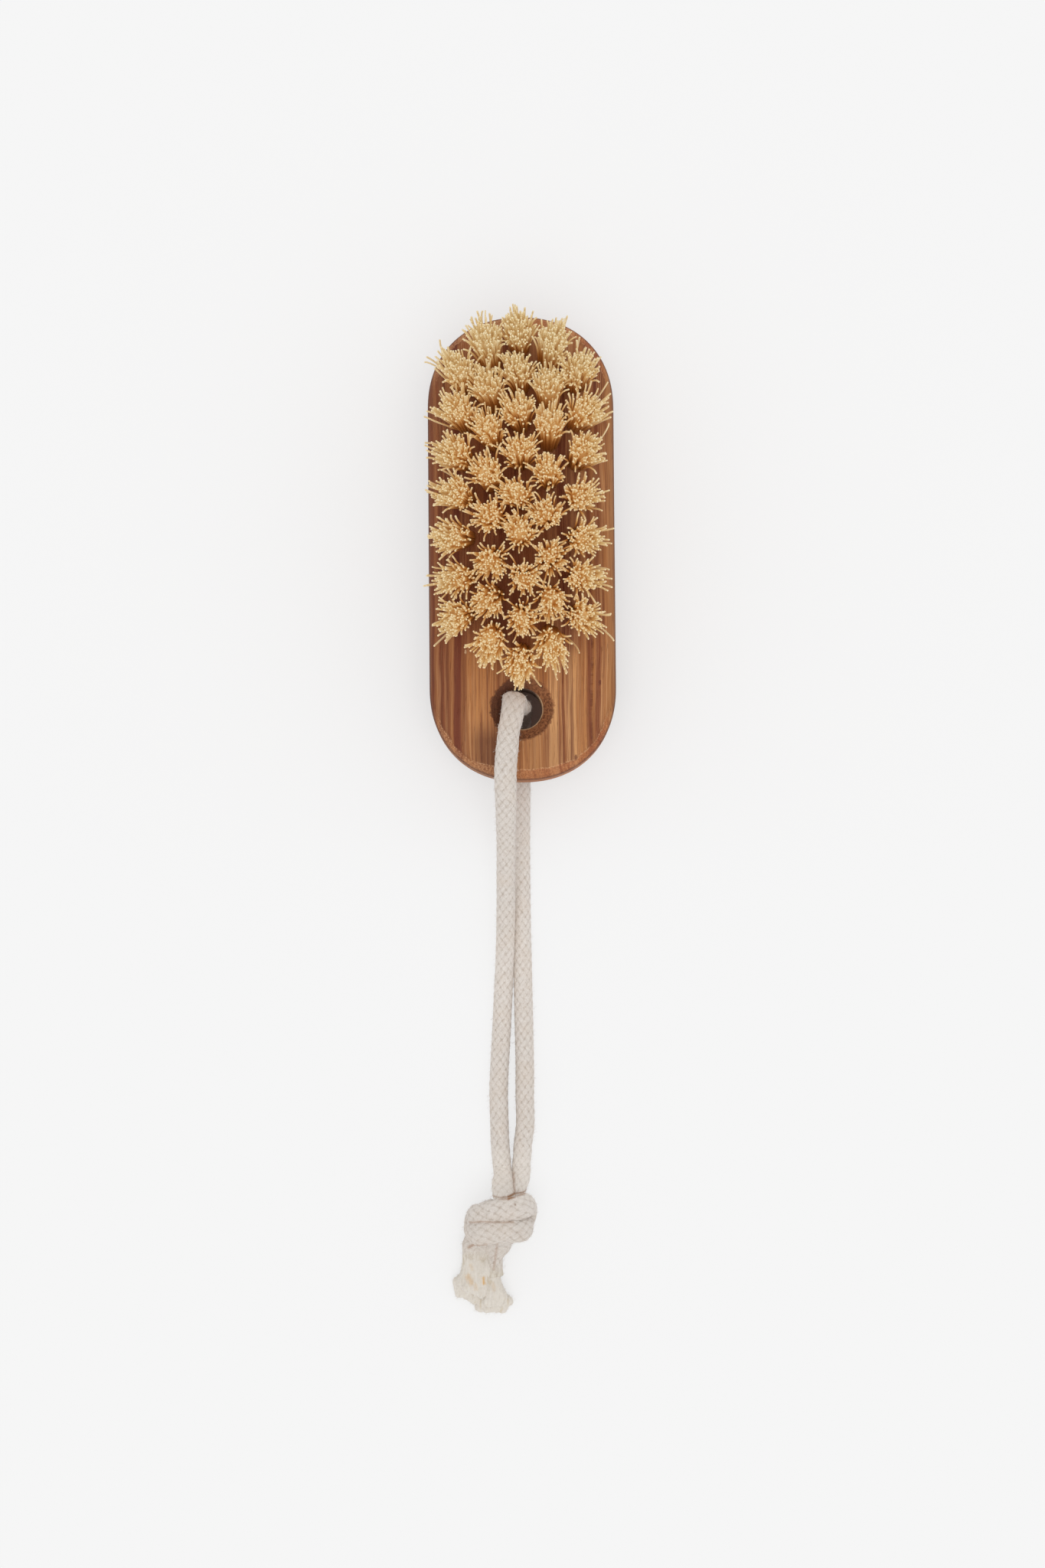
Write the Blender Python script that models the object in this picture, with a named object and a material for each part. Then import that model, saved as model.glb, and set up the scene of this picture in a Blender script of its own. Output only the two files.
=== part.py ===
"""Nail brush: a wooden block with 39 plant-fibre tufts and a knotted hanging cord.

Metres, +Z up. The brush lies on its back on a table at z = 0, with the bristles up. Its cord runs
beneath the end with the cord hole, so the block is tipped a little on it. The origin is on the
table below the middle of the block. +Y points to the far end, away from the cord hole.
"""
import math

import bmesh
import bpy
from mathutils import Vector

# Wooden block
BLOCK_LENGTH = 0.100
BLOCK_WIDTH = 0.040
BLOCK_THICKNESS = 0.013
EDGE_ROUNDING = 0.002

# Cord hole, countersunk on both faces at 45 degrees
CORD_HOLE_DIAMETER = 0.009
COUNTERSINK_DIAMETER = 0.0132
CORD_HOLE_FROM_END = 0.0162

# Tufts
BRUSH_HEIGHT = 0.030
TUFT_HOLE_DIAMETER = 0.0035
TUFT_HOLE_DEPTH = 0.008
TUFT_CLEARANCE = 0.0003
SIDE_COLUMNS = 2
MIDDLE_ROWS = 9
FIELD_FROM_END = 0.0071
FIELD_FROM_SIDE = 0.0082
FIELD_FROM_COUNTERSINK = 0.0045
TIP_FAN_ACROSS = 1.16
TIP_FAN_ALONG = 1.08
GAP_BETWEEN_HEADS = 0.00115
STRAND_RADIUS = 0.0003
CELL_GAP = 0.00006
CORE_SHARE = 0.40
BEND_HEIGHT = 0.48
BEND_SPREAD = 0.36
FOLD_LENGTH = 0.0022
FOLD_THICKNESS = 0.0012

# Cord
CORD_DIAMETER = 0.0040
KNOT_CORD_DIAMETER = 0.0034
TOUCH_GAP = 0.0003
KNOT_CENTRE = Vector((-0.0060, -0.1459, 0.0))
KNOT_PITCH = 0.0037
FRAY_LENGTH = 0.0068
FRAY_WIDTH = 0.0058
FRAY_HEIGHT = 0.0040
FRAY_SPLAY_OVER = -0.0024
FRAY_SPLAY_UNDER = 0.0008

# How far a Boolean's cutter reaches past a face, and the share of a drill's width left at its tip
CUTTER_REACH = 0.001
DRILL_TIP_SHARE = 0.12

# Facets
END_SEGMENTS = 24
ROUNDING_STEPS = 3
HOLE_SEGMENTS = 32
TUFT_HOLE_SEGMENTS = 12
FRAY_SEGMENTS = 12
CORD_BEVEL_STEPS = 3
KNOT_BEVEL_STEPS = 2
CURVE_STEPS = 16

# Cord routes, chosen by hand along the middle of the cord, in metres
OVER_RUN = [
    (0.0000, -0.0322, 0.0107), (0.0000, -0.0322, 0.0128), (-0.0006, -0.0340, 0.0168),
    (-0.0018, -0.0369, 0.0189), (-0.0030, -0.0405, 0.0196), (-0.0037, -0.0445, 0.0199),
    (-0.0040, -0.0480, 0.0199), (-0.0041, -0.0520, 0.0188), (-0.0042, -0.0570, 0.0158),
    (-0.0042, -0.0630, 0.0115), (-0.0043, -0.0700, 0.0078), (-0.0044, -0.0780, 0.0053),
    (-0.0046, -0.0860, 0.0036), (-0.0050, -0.0940, 0.0024), (-0.0054, -0.1010, 0.0020),
    (-0.0058, -0.1090, 0.0020), (-0.0060, -0.1175, 0.0020), (-0.0059, -0.1250, 0.0020),
    (-0.0057, -0.1305, 0.0020), (-0.0056, -0.1334, 0.0021),
]
UNDER_RUN = [
    (0.0000, -0.0322, 0.0103), (0.0000, -0.0322, 0.0084), (-0.0001, -0.0344, 0.0044),
    (-0.0002, -0.0371, 0.0026), (-0.0003, -0.0407, 0.0020), (-0.0004, -0.0450, 0.0020),
    (-0.0005, -0.0500, 0.0020), (-0.0007, -0.0630, 0.0020), (-0.0007, -0.0780, 0.0020),
    (-0.0005, -0.0933, 0.0020), (-0.0003, -0.1070, 0.0020), (-0.0003, -0.1175, 0.0020),
    (-0.0006, -0.1250, 0.0020), (-0.0013, -0.1305, 0.0020), (-0.0017, -0.1334, 0.0020),
]

# Knot strands, chosen by hand from the knot's centre, in widths of the tightened cord
OVER_STRAND = [
    (0.12, 3.25, 0.57), (0.13, 2.80, 0.66), (0.08, 2.20, 1.15), (0.20, 1.45, 1.80), (0.45, 0.60, 2.15),
    (0.45, -0.20, 2.20), (0.50, -0.75, 1.80), (0.70, -0.85, 1.10), (1.10, -0.55, 0.60),
    (1.60, 0.10, 0.55), (1.80, 0.70, 1.15), (1.55, 0.85, 2.10), (1.00, 0.80, 2.95),
    (0.10, 0.62, 3.20), (-0.75, 0.50, 3.10), (-1.40, 0.40, 2.70), (-1.60, 0.30, 2.10),
    (-1.50, 0.15, 1.65), (-1.20, -0.20, 1.40), (-1.00, -0.60, 1.20), (-1.05, -1.35, 1.05),
    (-1.20, -2.15, 0.80), (-1.30, -3.00, 0.60), (-1.40, -3.80, 0.50),
]
UNDER_STRAND = [
    (1.15, 3.25, 0.54), (1.13, 2.80, 0.57), (1.04, 2.20, 0.80), (0.90, 1.50, 1.05), (0.80, 0.80, 1.15),
    (0.90, 0.25, 1.25), (1.20, -0.10, 1.50), (1.40, -0.30, 1.75), (1.50, -0.30, 2.20),
    (1.30, -0.30, 2.75), (0.70, -0.36, 3.15), (-0.15, -0.48, 3.20), (-1.05, -0.70, 3.00),
    (-1.65, -0.85, 2.20), (-2.05, -0.70, 1.20), (-1.80, -0.05, 0.55), (-1.20, 0.55, 0.65),
    (-0.75, 0.80, 1.20), (-0.60, 0.65, 1.85), (-0.55, -0.05, 2.20), (-0.55, -0.95, 2.05),
    (-0.42, -1.75, 1.70), (-0.36, -2.50, 1.15), (-0.30, -3.20, 0.66), (-0.25, -3.80, 0.55),
]

# Worked out from the sizes above
HALF_LENGTH = BLOCK_LENGTH / 2
HALF_WIDTH = BLOCK_WIDTH / 2
HOLE_Y = -HALF_LENGTH + CORD_HOLE_FROM_END
COUNTERSINK_DEPTH = (COUNTERSINK_DIAMETER - CORD_HOLE_DIAMETER) / 2
FIRST_TUFT_Y = HALF_LENGTH - FIELD_FROM_END
LAST_TUFT_Y = HOLE_Y + COUNTERSINK_DIAMETER / 2 + FIELD_FROM_COUNTERSINK
COLUMN_SPACING = (HALF_WIDTH - FIELD_FROM_SIDE) / SIDE_COLUMNS
ROW_SPACING = (FIRST_TUFT_Y - LAST_TUFT_Y) / (MIDDLE_ROWS - 1)
TIP_SPACING_ACROSS = COLUMN_SPACING * TIP_FAN_ACROSS
TIP_SPACING_ALONG = ROW_SPACING * TIP_FAN_ALONG
NEAREST_TIPS = min(TIP_SPACING_ALONG, math.hypot(TIP_SPACING_ACROSS, TIP_SPACING_ALONG / 2))
HEAD_DIAMETER = NEAREST_TIPS - GAP_BETWEEN_HEADS


def clear_scene():
    for item in list(bpy.data.objects):
        bpy.data.objects.remove(item, do_unlink=True)


def make_material(name, colour, roughness, metallic=0.0):
    material = bpy.data.materials.new(name)
    material.use_nodes = True
    shader = material.node_tree.nodes["Principled BSDF"]
    shader.inputs["Base Color"].default_value = (*colour, 1.0)
    shader.inputs["Roughness"].default_value = roughness
    shader.inputs["Metallic"].default_value = metallic
    return material


def add_object(name, data, material=None, parent=None):
    item = bpy.data.objects.new(name, data)
    bpy.context.scene.collection.objects.link(item)
    if material:
        data.materials.append(material)
    item.parent = parent
    return item


def finish_mesh(bm, name, sharp_degrees=35):
    """Turn a bmesh into a smooth-shaded mesh with its creases kept sharp."""
    bmesh.ops.recalc_face_normals(bm, faces=bm.faces)
    mesh = bpy.data.meshes.new(name)
    bm.to_mesh(mesh)
    bm.free()
    mesh.shade_smooth()
    mesh.set_sharp_from_angle(angle=math.radians(sharp_degrees))
    return mesh


def loft(bm, rings):
    """Join rings of equal length into a closed skin with a face on each end."""
    rows = [[bm.verts.new(point) for point in ring] for ring in rings]
    for low, high in zip(rows, rows[1:]):
        for i in range(len(low)):
            j = (i + 1) % len(low)
            bm.faces.new((low[i], low[j], high[j], high[i]))
    bm.faces.new(list(reversed(rows[0])))
    bm.faces.new(rows[-1])


def add_cutter(name, bm, target, parent):
    """Cut a hidden solid out of the target with an exact Boolean."""
    cutter = add_object(name, finish_mesh(bm, name), parent=parent)
    cutter.hide_render = True
    cutter.display_type = "WIRE"
    cut = target.modifiers.new(name, "BOOLEAN")
    cut.operation = "DIFFERENCE"
    cut.solver = "EXACT"
    cut.object = cutter


def outline_ring(inset, z):
    """The block's outline, two half rounds joined by straight sides, drawn in by an inset."""
    radius = HALF_WIDTH - inset
    straight = HALF_LENGTH - HALF_WIDTH
    ring = []
    for end, start in ((1, 0.0), (-1, math.pi)):
        for step in range(END_SEGMENTS + 1):
            angle = start + math.pi * step / END_SEGMENTS
            ring.append(Vector((radius * math.cos(angle), end * straight + radius * math.sin(angle), z)))
    return ring


def rest_frame():
    """Pose of the block on the table: its far end down, its hole end propped up by the cord."""
    far_contact = HALF_LENGTH - EDGE_ROUNDING
    prop = HOLE_Y - COUNTERSINK_DIAMETER / 2
    tilt = math.asin((CORD_DIAMETER + TOUCH_GAP) / (far_contact - prop))
    lift = far_contact * math.sin(tilt) + EDGE_ROUNDING * (1 - math.cos(tilt))
    shift = -BLOCK_THICKNESS / 2 * math.sin(tilt)
    frame = bpy.data.objects.new("brush_at_rest", None)
    bpy.context.scene.collection.objects.link(frame)
    frame.location = (0.0, shift, lift)
    frame.rotation_euler = (-tilt, 0.0, 0.0)
    return frame


def build_block(material, frame, sites):
    rings = []
    for step in range(ROUNDING_STEPS + 1):
        angle = math.pi / 2 * step / ROUNDING_STEPS
        rise = EDGE_ROUNDING * (1 - math.cos(angle))
        rings.append(outline_ring(EDGE_ROUNDING * (1 - math.sin(angle)), rise))
    for step in range(ROUNDING_STEPS + 1):
        angle = math.pi / 2 * step / ROUNDING_STEPS
        rise = EDGE_ROUNDING * (1 - math.sin(angle))
        rings.append(outline_ring(EDGE_ROUNDING * (1 - math.cos(angle)), BLOCK_THICKNESS - rise))
    bm = bmesh.new()
    loft(bm, rings)
    block = add_object("wooden_block", finish_mesh(bm, "wooden_block"), material, frame)
    add_cutter("cutter_cord_hole", cord_hole_solid(), block, frame)
    add_cutter("cutter_tuft_holes", tuft_hole_solids(sites), block, frame)
    return block


def cord_hole_solid():
    """The through hole with a 45 degree countersink in each face."""
    bore = CORD_HOLE_DIAMETER / 2
    mouth = COUNTERSINK_DIAMETER / 2 + CUTTER_REACH
    profile = [
        (mouth, -CUTTER_REACH),
        (bore, COUNTERSINK_DEPTH),
        (bore, BLOCK_THICKNESS - COUNTERSINK_DEPTH),
        (mouth, BLOCK_THICKNESS + CUTTER_REACH),
    ]
    rings = []
    for radius, z in profile:
        angles = [2 * math.pi * i / HOLE_SEGMENTS for i in range(HOLE_SEGMENTS)]
        rings.append([Vector((radius * math.cos(a), HOLE_Y + radius * math.sin(a), z)) for a in angles])
    bm = bmesh.new()
    loft(bm, rings)
    return bm


def tuft_sites():
    """Mouth of each tuft hole on the bristle face and the centre of its tips, column by column.

    Each column holds one tuft fewer than the one beside it on the middle's side, so they stagger.
    """
    centre_y = (FIRST_TUFT_Y + LAST_TUFT_Y) / 2
    sites = []
    for column in range(-SIDE_COLUMNS, SIDE_COLUMNS + 1):
        rows = MIDDLE_ROWS - abs(column)
        for row in range(rows):
            x = column * COLUMN_SPACING
            y = centre_y + ((rows - 1) / 2 - row) * ROW_SPACING
            mouth = Vector((x, y, BLOCK_THICKNESS))
            tip_y = centre_y + (y - centre_y) * TIP_FAN_ALONG
            tips = Vector((x * TIP_FAN_ACROSS, tip_y, BRUSH_HEIGHT))
            sites.append((mouth, tips))
    return sites


def lean_frame(mouth, tips):
    """Axis of a leaning tuft and two directions square to it."""
    axis = (tips - mouth).normalized()
    side = Vector((0.0, 1.0, 0.0)).cross(axis).normalized()
    return axis, side, axis.cross(side)


def tuft_hole_solids(sites):
    """One drill shape for each tuft, with the drill's cone at its bottom."""
    radius = TUFT_HOLE_DIAMETER / 2
    bm = bmesh.new()
    for mouth, tips in sites:
        axis, side, along = lean_frame(mouth, tips)
        levels = (
            (-TUFT_HOLE_DEPTH - radius / 2, DRILL_TIP_SHARE),
            (-TUFT_HOLE_DEPTH, 1.0),
            (CUTTER_REACH, 1.0),
        )
        rings = []
        for level, share in levels:
            ring = []
            for i in range(TUFT_HOLE_SEGMENTS):
                angle = 2 * math.pi * i / TUFT_HOLE_SEGMENTS
                offset = side * math.cos(angle) + along * math.sin(angle)
                ring.append(mouth + axis * level + offset * radius * share)
            rings.append(ring)
        loft(bm, rings)
    return bm


def build_tuft(name, mouth, tips, material, frame):
    """One tuft: a bundle folded in its hole, whose strands fan out and are trimmed level.

    The bundle's root is a six-sided plug with a flattened fold at the bottom, where the anchor wire
    sits. Its top is split into ten cells, and one three-sided strand grows out of each.
    """
    axis, side, along = lean_frame(mouth, tips)
    reach = tips - mouth
    radius = TUFT_HOLE_DIAMETER / 2 - TUFT_CLEARANCE
    levels = (
        (TOUCH_GAP, 1.0),
        (FOLD_LENGTH - TUFT_HOLE_DEPTH, 1.0),
        (TOUCH_GAP - TUFT_HOLE_DEPTH, FOLD_THICKNESS / (2 * radius)),
    )
    bm = bmesh.new()
    rings = []
    for level, flat in levels:
        ring = []
        for i in range(6):
            angle = math.pi * i / 3
            offset = side * math.cos(angle) + along * math.sin(angle) * flat
            ring.append(bm.verts.new(axis * level + offset * radius))
        rings.append(ring)
    for high, low in zip(rings, rings[1:]):
        for i in range(6):
            j = (i + 1) % 6
            bm.faces.new((low[i], low[j], high[j], high[i]))
    bm.faces.new(list(reversed(rings[-1])))

    rim = rings[0]
    core = []
    for i in range(3):
        angle = 2 * math.pi * i / 3
        offset = side * math.cos(angle) + along * math.sin(angle)
        core.append(bm.verts.new(axis * TOUCH_GAP + offset * radius * CORE_SHARE))
    cells = [bm.faces.new(core)]
    for i in range(3):
        j = (i + 1) % 3
        before, corner, after = rim[2 * i - 1], rim[2 * i], rim[2 * i + 1]
        cells.append(bm.faces.new((core[i], before, corner)))
        cells.append(bm.faces.new((core[i], corner, after)))
        cells.append(bm.faces.new((core[i], after, core[j])))
    bmesh.ops.recalc_face_normals(bm, faces=bm.faces)
    bmesh.ops.inset_individual(bm, faces=cells, thickness=CELL_GAP)

    outermost = max(cell.calc_center_median().length for cell in cells)
    flare = (HEAD_DIAMETER / 2 - STRAND_RADIUS) / outermost
    strands = [(cell, cell.calc_center_median().copy()) for cell in cells]
    for cell, root in strands:
        corners = [(vert.co - root).normalized() for vert in cell.verts]
        tip = reach + (root - axis * TOUCH_GAP) * flare
        tip.z = reach.z
        bend = root.lerp(tip, BEND_SPREAD)
        bend.z = reach.z * BEND_HEIGHT
        top = cell
        for centre in (bend, tip):
            top = bmesh.ops.extrude_discrete_faces(bm, faces=[top])["faces"][0]
            for vert, corner in zip(top.verts, corners):
                flat = Vector((corner.x, corner.y, 0.0)).normalized()
                vert.co = centre + flat * STRAND_RADIUS
    tuft = add_object(name, finish_mesh(bm, name), material, frame)
    tuft.location = mouth
    return tuft


def smooth_route(points, step):
    """Points at even steps along a centripetal Catmull-Rom curve through the given points."""
    nodes = [Vector(point) for point in points]
    nodes = [nodes[0] * 2 - nodes[1]] + nodes + [nodes[-1] * 2 - nodes[-2]]
    fine = []
    for a, b, c, d in zip(nodes, nodes[1:], nodes[2:], nodes[3:]):
        t1 = (b - a).length ** 0.5
        t2 = t1 + (c - b).length ** 0.5
        t3 = t2 + (d - c).length ** 0.5
        for i in range(CURVE_STEPS):
            t = t1 + (t2 - t1) * i / CURVE_STEPS
            ab = a.lerp(b, t / t1)
            bc = b.lerp(c, (t - t1) / (t2 - t1))
            cd = c.lerp(d, (t - t2) / (t3 - t2))
            abc = ab.lerp(bc, t / t2)
            bcd = bc.lerp(cd, (t - t1) / (t3 - t1))
            fine.append(abc.lerp(bcd, (t - t1) / (t2 - t1)))
    fine.append(nodes[-2])
    lengths = [(b - a).length for a, b in zip(fine, fine[1:])]
    total = sum(lengths)
    count = max(2, round(total / step))
    even, walked, i = [fine[0]], 0.0, 0
    for k in range(1, count):
        target = total * k / count
        while walked + lengths[i] < target:
            walked += lengths[i]
            i += 1
        even.append(fine[i].lerp(fine[i + 1], (target - walked) / lengths[i]))
    even.append(fine[-1])
    return even


def build_tube(name, route, diameter, bevel_steps, material):
    """A cord as a round bevelled curve with closed ends, never lower than the table."""
    curve = bpy.data.curves.new(name, "CURVE")
    curve.dimensions = "3D"
    curve.bevel_depth = diameter / 2
    curve.bevel_resolution = bevel_steps
    curve.use_fill_caps = True
    curve.render_resolution_u = 0
    spline = curve.splines.new("POLY")
    spline.points.add(len(route) - 1)
    for slot, point in zip(spline.points, route):
        slot.co = (point.x, point.y, max(point.z, diameter / 2), 1.0)
    return add_object(name, curve, material)


def knot_route(strand):
    return [KNOT_CENTRE + Vector(point) * KNOT_PITCH for point in strand]


def build_fray(name, route, splay, material):
    """The frayed end of the braid: it swells out of the cord, fans flat and ends ragged."""
    start = route[-1]
    heading = (route[-1] - route[-2]).normalized()
    heading.z = 0.0
    heading.normalize()
    side = Vector((-heading.y, heading.x, 0.0))
    up = Vector((0.0, 0.0, 1.0))
    stations = ((0.0, 0.56, 0.80), (0.18, 0.66, 0.86), (0.42, 0.88, 0.98), (0.68, 1.0, 1.0),
                (0.88, 0.90, 0.82), (1.0, 0.62, 0.50))
    start = start + heading * TOUCH_GAP
    rings = []
    for along, wide, high in stations:
        centre = start + heading * FRAY_LENGTH * along + side * splay * along
        centre.z = max(start.z * (1 - along), FRAY_HEIGHT / 2 * high)
        ring = []
        for i in range(FRAY_SEGMENTS):
            angle = 2 * math.pi * i / FRAY_SEGMENTS
            lobe = 1 - 0.10 * along * (i % 2)
            width = FRAY_WIDTH / 2 * wide * lobe * math.cos(angle)
            height = FRAY_HEIGHT / 2 * high * lobe * math.sin(angle)
            ring.append(centre + side * width + up * height)
        rings.append(ring)
    bm = bmesh.new()
    loft(bm, rings)
    return add_object(name, finish_mesh(bm, name), material)


def main():
    clear_scene()
    wood = make_material("striped_hardwood", (0.30, 0.13, 0.06), 0.55)
    fibre = make_material("plant_fibre", (0.62, 0.44, 0.20), 0.75)
    cotton = make_material("cotton_braid", (0.66, 0.60, 0.52), 0.90)
    frayed = make_material("frayed_cotton", (0.68, 0.61, 0.50), 0.95)

    frame = rest_frame()
    sites = tuft_sites()
    build_block(wood, frame, sites)
    for number, (mouth, tips) in enumerate(sites, start=1):
        build_tuft(f"tuft_{number:02d}", mouth, tips, fibre, frame)

    over = smooth_route(OVER_RUN, CORD_DIAMETER / 2)
    under = smooth_route(UNDER_RUN, CORD_DIAMETER / 2)
    build_tube("cord_over_run", over, CORD_DIAMETER, CORD_BEVEL_STEPS, cotton)
    build_tube("cord_under_run", under, CORD_DIAMETER, CORD_BEVEL_STEPS, cotton)
    knot_over = smooth_route(knot_route(OVER_STRAND), KNOT_CORD_DIAMETER / 2)
    knot_under = smooth_route(knot_route(UNDER_STRAND), KNOT_CORD_DIAMETER / 2)
    build_tube("knot_strand_over", knot_over, KNOT_CORD_DIAMETER, KNOT_BEVEL_STEPS, cotton)
    build_tube("knot_strand_under", knot_under, KNOT_CORD_DIAMETER, KNOT_BEVEL_STEPS, cotton)
    build_fray("frayed_end_over", knot_over, FRAY_SPLAY_OVER, frayed)
    build_fray("frayed_end_under", knot_under, FRAY_SPLAY_UNDER, frayed)


main()
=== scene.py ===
"""Looks of the nail brush: an oiled block of striped wood, tufts of plant fibre and a knotted cord.

Metres, +Z up, in the frame of the CAD model. The brush lies on its back with the bristles up, its
far end towards +Y, and the cord runs towards -Y. Sizes named here are those of the real brush.
"""
import math

import bmesh
import bpy
from mathutils import Matrix, Vector
from mathutils import noise as soft_noise


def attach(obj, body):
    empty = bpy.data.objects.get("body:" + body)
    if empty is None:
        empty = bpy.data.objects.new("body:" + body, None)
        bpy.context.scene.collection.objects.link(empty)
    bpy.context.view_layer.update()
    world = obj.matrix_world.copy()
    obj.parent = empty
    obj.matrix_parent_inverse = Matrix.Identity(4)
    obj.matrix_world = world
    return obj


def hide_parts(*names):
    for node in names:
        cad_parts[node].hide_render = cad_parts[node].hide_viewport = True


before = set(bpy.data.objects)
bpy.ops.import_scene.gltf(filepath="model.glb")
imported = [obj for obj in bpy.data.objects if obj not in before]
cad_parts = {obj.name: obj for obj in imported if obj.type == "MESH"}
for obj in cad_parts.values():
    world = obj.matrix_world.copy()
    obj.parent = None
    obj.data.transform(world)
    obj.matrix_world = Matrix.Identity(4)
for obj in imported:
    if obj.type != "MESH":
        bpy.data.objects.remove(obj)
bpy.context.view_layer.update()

MM = 0.001
PER_MM = 1000.0

CAMERA_LENS = 68.0  # mm, as is the sensor's width
CAMERA_SENSOR = 36.0
CAMERA_PLACE = (-0.00024, -0.0505, 0.650)
CAMERA_TURN_DEGREES = -0.47
TABLE_GAP = 0.00003  # the least height of a point of the cord

# The block: its size is the CAD's; its edges, its ends and its hole are laid closer to the real brush
BLOCK_LENGTH = 0.100
BLOCK_WIDTH = 0.040
BLOCK_THICKNESS = 0.013
EDGE_ROUNDING = 0.0021
EDGE_CREASE_DEGREES = 14
EDGE_STEPS = 9
END_STEPS = 72
END_SQUARENESS = 2.2  # 2 would be a plain half round
CORD_HOLE_X = -0.0002
CORD_HOLE_Y = -0.0347
CORD_HOLE_DIAMETER = 0.0087
COUNTERSINK_DIAMETER = 0.0132
COUNTERSINK_DEPTH = 0.0021
COUNTERSINK_EASING = 0.0002
CUTTER_OVERLAP = 0.001
HOLE_SIDES = 96
SHARP_EDGE_DEGREES = 10

# The tufts: holes in five columns, each column one tuft shorter than the one nearer the middle
COLUMN_SPACING = 0.0059
ROW_SPACING = 0.0082
FIELD_CENTRE_Y = 0.0101
BRISTLE_TOP = 0.0300
TIP_FAN_ACROSS = 1.16
TIP_FAN_ALONG = 1.08
TUFT_HOLE_DIAMETER = 0.0035
TUFT_HOLE_DEPTH = 0.0080
DRILL_TIP = 0.0008
TUFT_HOLE_SIDES = 24
ROOT_SHARE = 0.22  # how deep a tuft's root lies, as a share of the tuft's height above the block
FIBRES_IN_TUFT = 160
FIBRE_THICKNESS = 0.00037
HEAD_RADIUS = 0.0033
CORE_THICKNESS = 0.0030
CORE_SHARE = 0.87
CORE_SWELL = 1.0
CORE_ROUNDING = 0.8
CORE_GROWTH = 0.78
SPLAYED_GROWTH = 1.2
STRAY_GROWTH = 1.5
FIBRE_SEED = 40
STEM_GLOW = 0.20

# The outward fibres of the border tufts: how many, how far out and down their middle lies, how far they fan.
# Only the tufts near the two ends turn outwards along the block as well.
SPLAYED_FIBRES = 30
SPLAY_OUT = 0.0033
SPLAY_DOWN = 0.0022
SPLAY_FAN = 0.0025
SPLAY_ENDS_FROM = ROW_SPACING * 2.4
SPLAY_END_SHARE = 1.6

# Single long fibres: the column and row that they grow from, then where they end, in mm on the block
STRAY_ENDS = [
    (-2, 0, -20.6, 40.2), (-2, 0, -20.2, 38.9), (-2, 0, -17.2, 43.1), (-2, 1, -20.1, 26.6),
    (-2, 2, -19.7, 21.0), (-2, 3, -18.4, 16.0), (-2, 4, -19.0, 3.4), (-2, 6, -19.2, -22.7),
    (2, 0, 12.8, 43.2), (2, 1, 18.4, 33.2), (2, 1, 18.9, 29.6), (2, 2, 19.6, 25.6), (2, 5, 18.2, -6.5),
    (2, 6, 18.7, -21.1), (1, 7, 7.4, -30.3), (1, 7, 12.6, -24.1), (0, 8, 4.1, -31.1), (0, 0, -1.6, 50.2),
    (-1, 0, -8.2, 50.6),
]
STRAY_HEIGHT = 0.0225

# How far each tuft has been pushed over by use, in mm (across, along), far end first
PUSHED_OVER = {
    -2: [(0.4, -0.6), (0.2, 0.2), (-0.8, -0.4), (-0.8, -0.4), (-1.3, -1.0), (-0.6, -1.1), (-0.7, -0.4)],
    -1: [(-0.7, 1.1), (-0.7, 1.2), (-0.6, 0.3), (-0.9, -0.2), (-0.4, -1.2), (0.1, -2.6), (-0.9, -1.8),
         (0.0, -1.6)],
    0: [(-0.5, -1.4), (-0.7, -0.7), (-1.0, 0.4), (-0.5, -0.2), (-1.5, -0.5), (-0.4, 0.7), (0.5, -0.9),
        (0.2, -0.9), (-0.6, -1.4)],
    1: [(0.1, 0.8), (-1.0, 1.1), (-0.7, 1.7), (-1.1, 0.0), (-1.6, -0.3), (-0.6, -1.2), (-0.7, -1.9),
        (-0.7, -2.8)],
    2: [(-1.5, -0.8), (0.2, -0.4), (-0.4, -0.3), (-1.0, -1.6), (-0.7, -1.8), (-0.8, -1.0), (-0.9, -0.6)],
}

# The braided cord
CORD_DIAMETER = 0.0040
BRAID_STRANDS_EACH_WAY = 8
BRAID_PERIOD = 0.00213
BRAID_SIDES = 72
BRAID_STEP = 0.00018
ROUTE_STEPS = 24  # between two points of a cord's route
PATH_STRIDE = 6  # rings of the braid for each point of the path that is handed on
BRAID_CORE = 0.94  # the skin's radius between the strands, then how far they rise and how far it wanders
BRAID_RELIEF = 0.09
BRAID_WANDER = 0.02
OPENED = 0.6  # how much of its relief an opened braid loses
FUZZ_PER_SQUARE_METRE = 1.3e6
FRAY_FUZZ_PER_SQUARE_METRE = 3.0e6
FUZZ_LENGTH = 0.0006
FUZZ_THICKNESS = 0.00004
YARNS_IN_STRAND = 3.0
COTTON_GLOW = 0.095  # painted glow, for light that has spread inside the cotton
COTTON_SHEEN = 0.15
COTTON_SPECULAR = 0.2

# At rest the block's far end lies on the table and its hole end on the cord beneath it
CORD_GAP = 0.0003
FAR_CONTACT_Y = 0.0480
CORD_CONTACT_Y = -0.0404
BLOCK_TILT = math.asin((CORD_DIAMETER + CORD_GAP) / (FAR_CONTACT_Y - CORD_CONTACT_Y))
BLOCK_SLIDE, BLOCK_LIFT = -0.0003161, 0.0023373
BLOCK_AT_REST = Matrix.Translation((0.0, BLOCK_SLIDE, BLOCK_LIFT)) @ Matrix.Rotation(-BLOCK_TILT, 4, "X")

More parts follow.
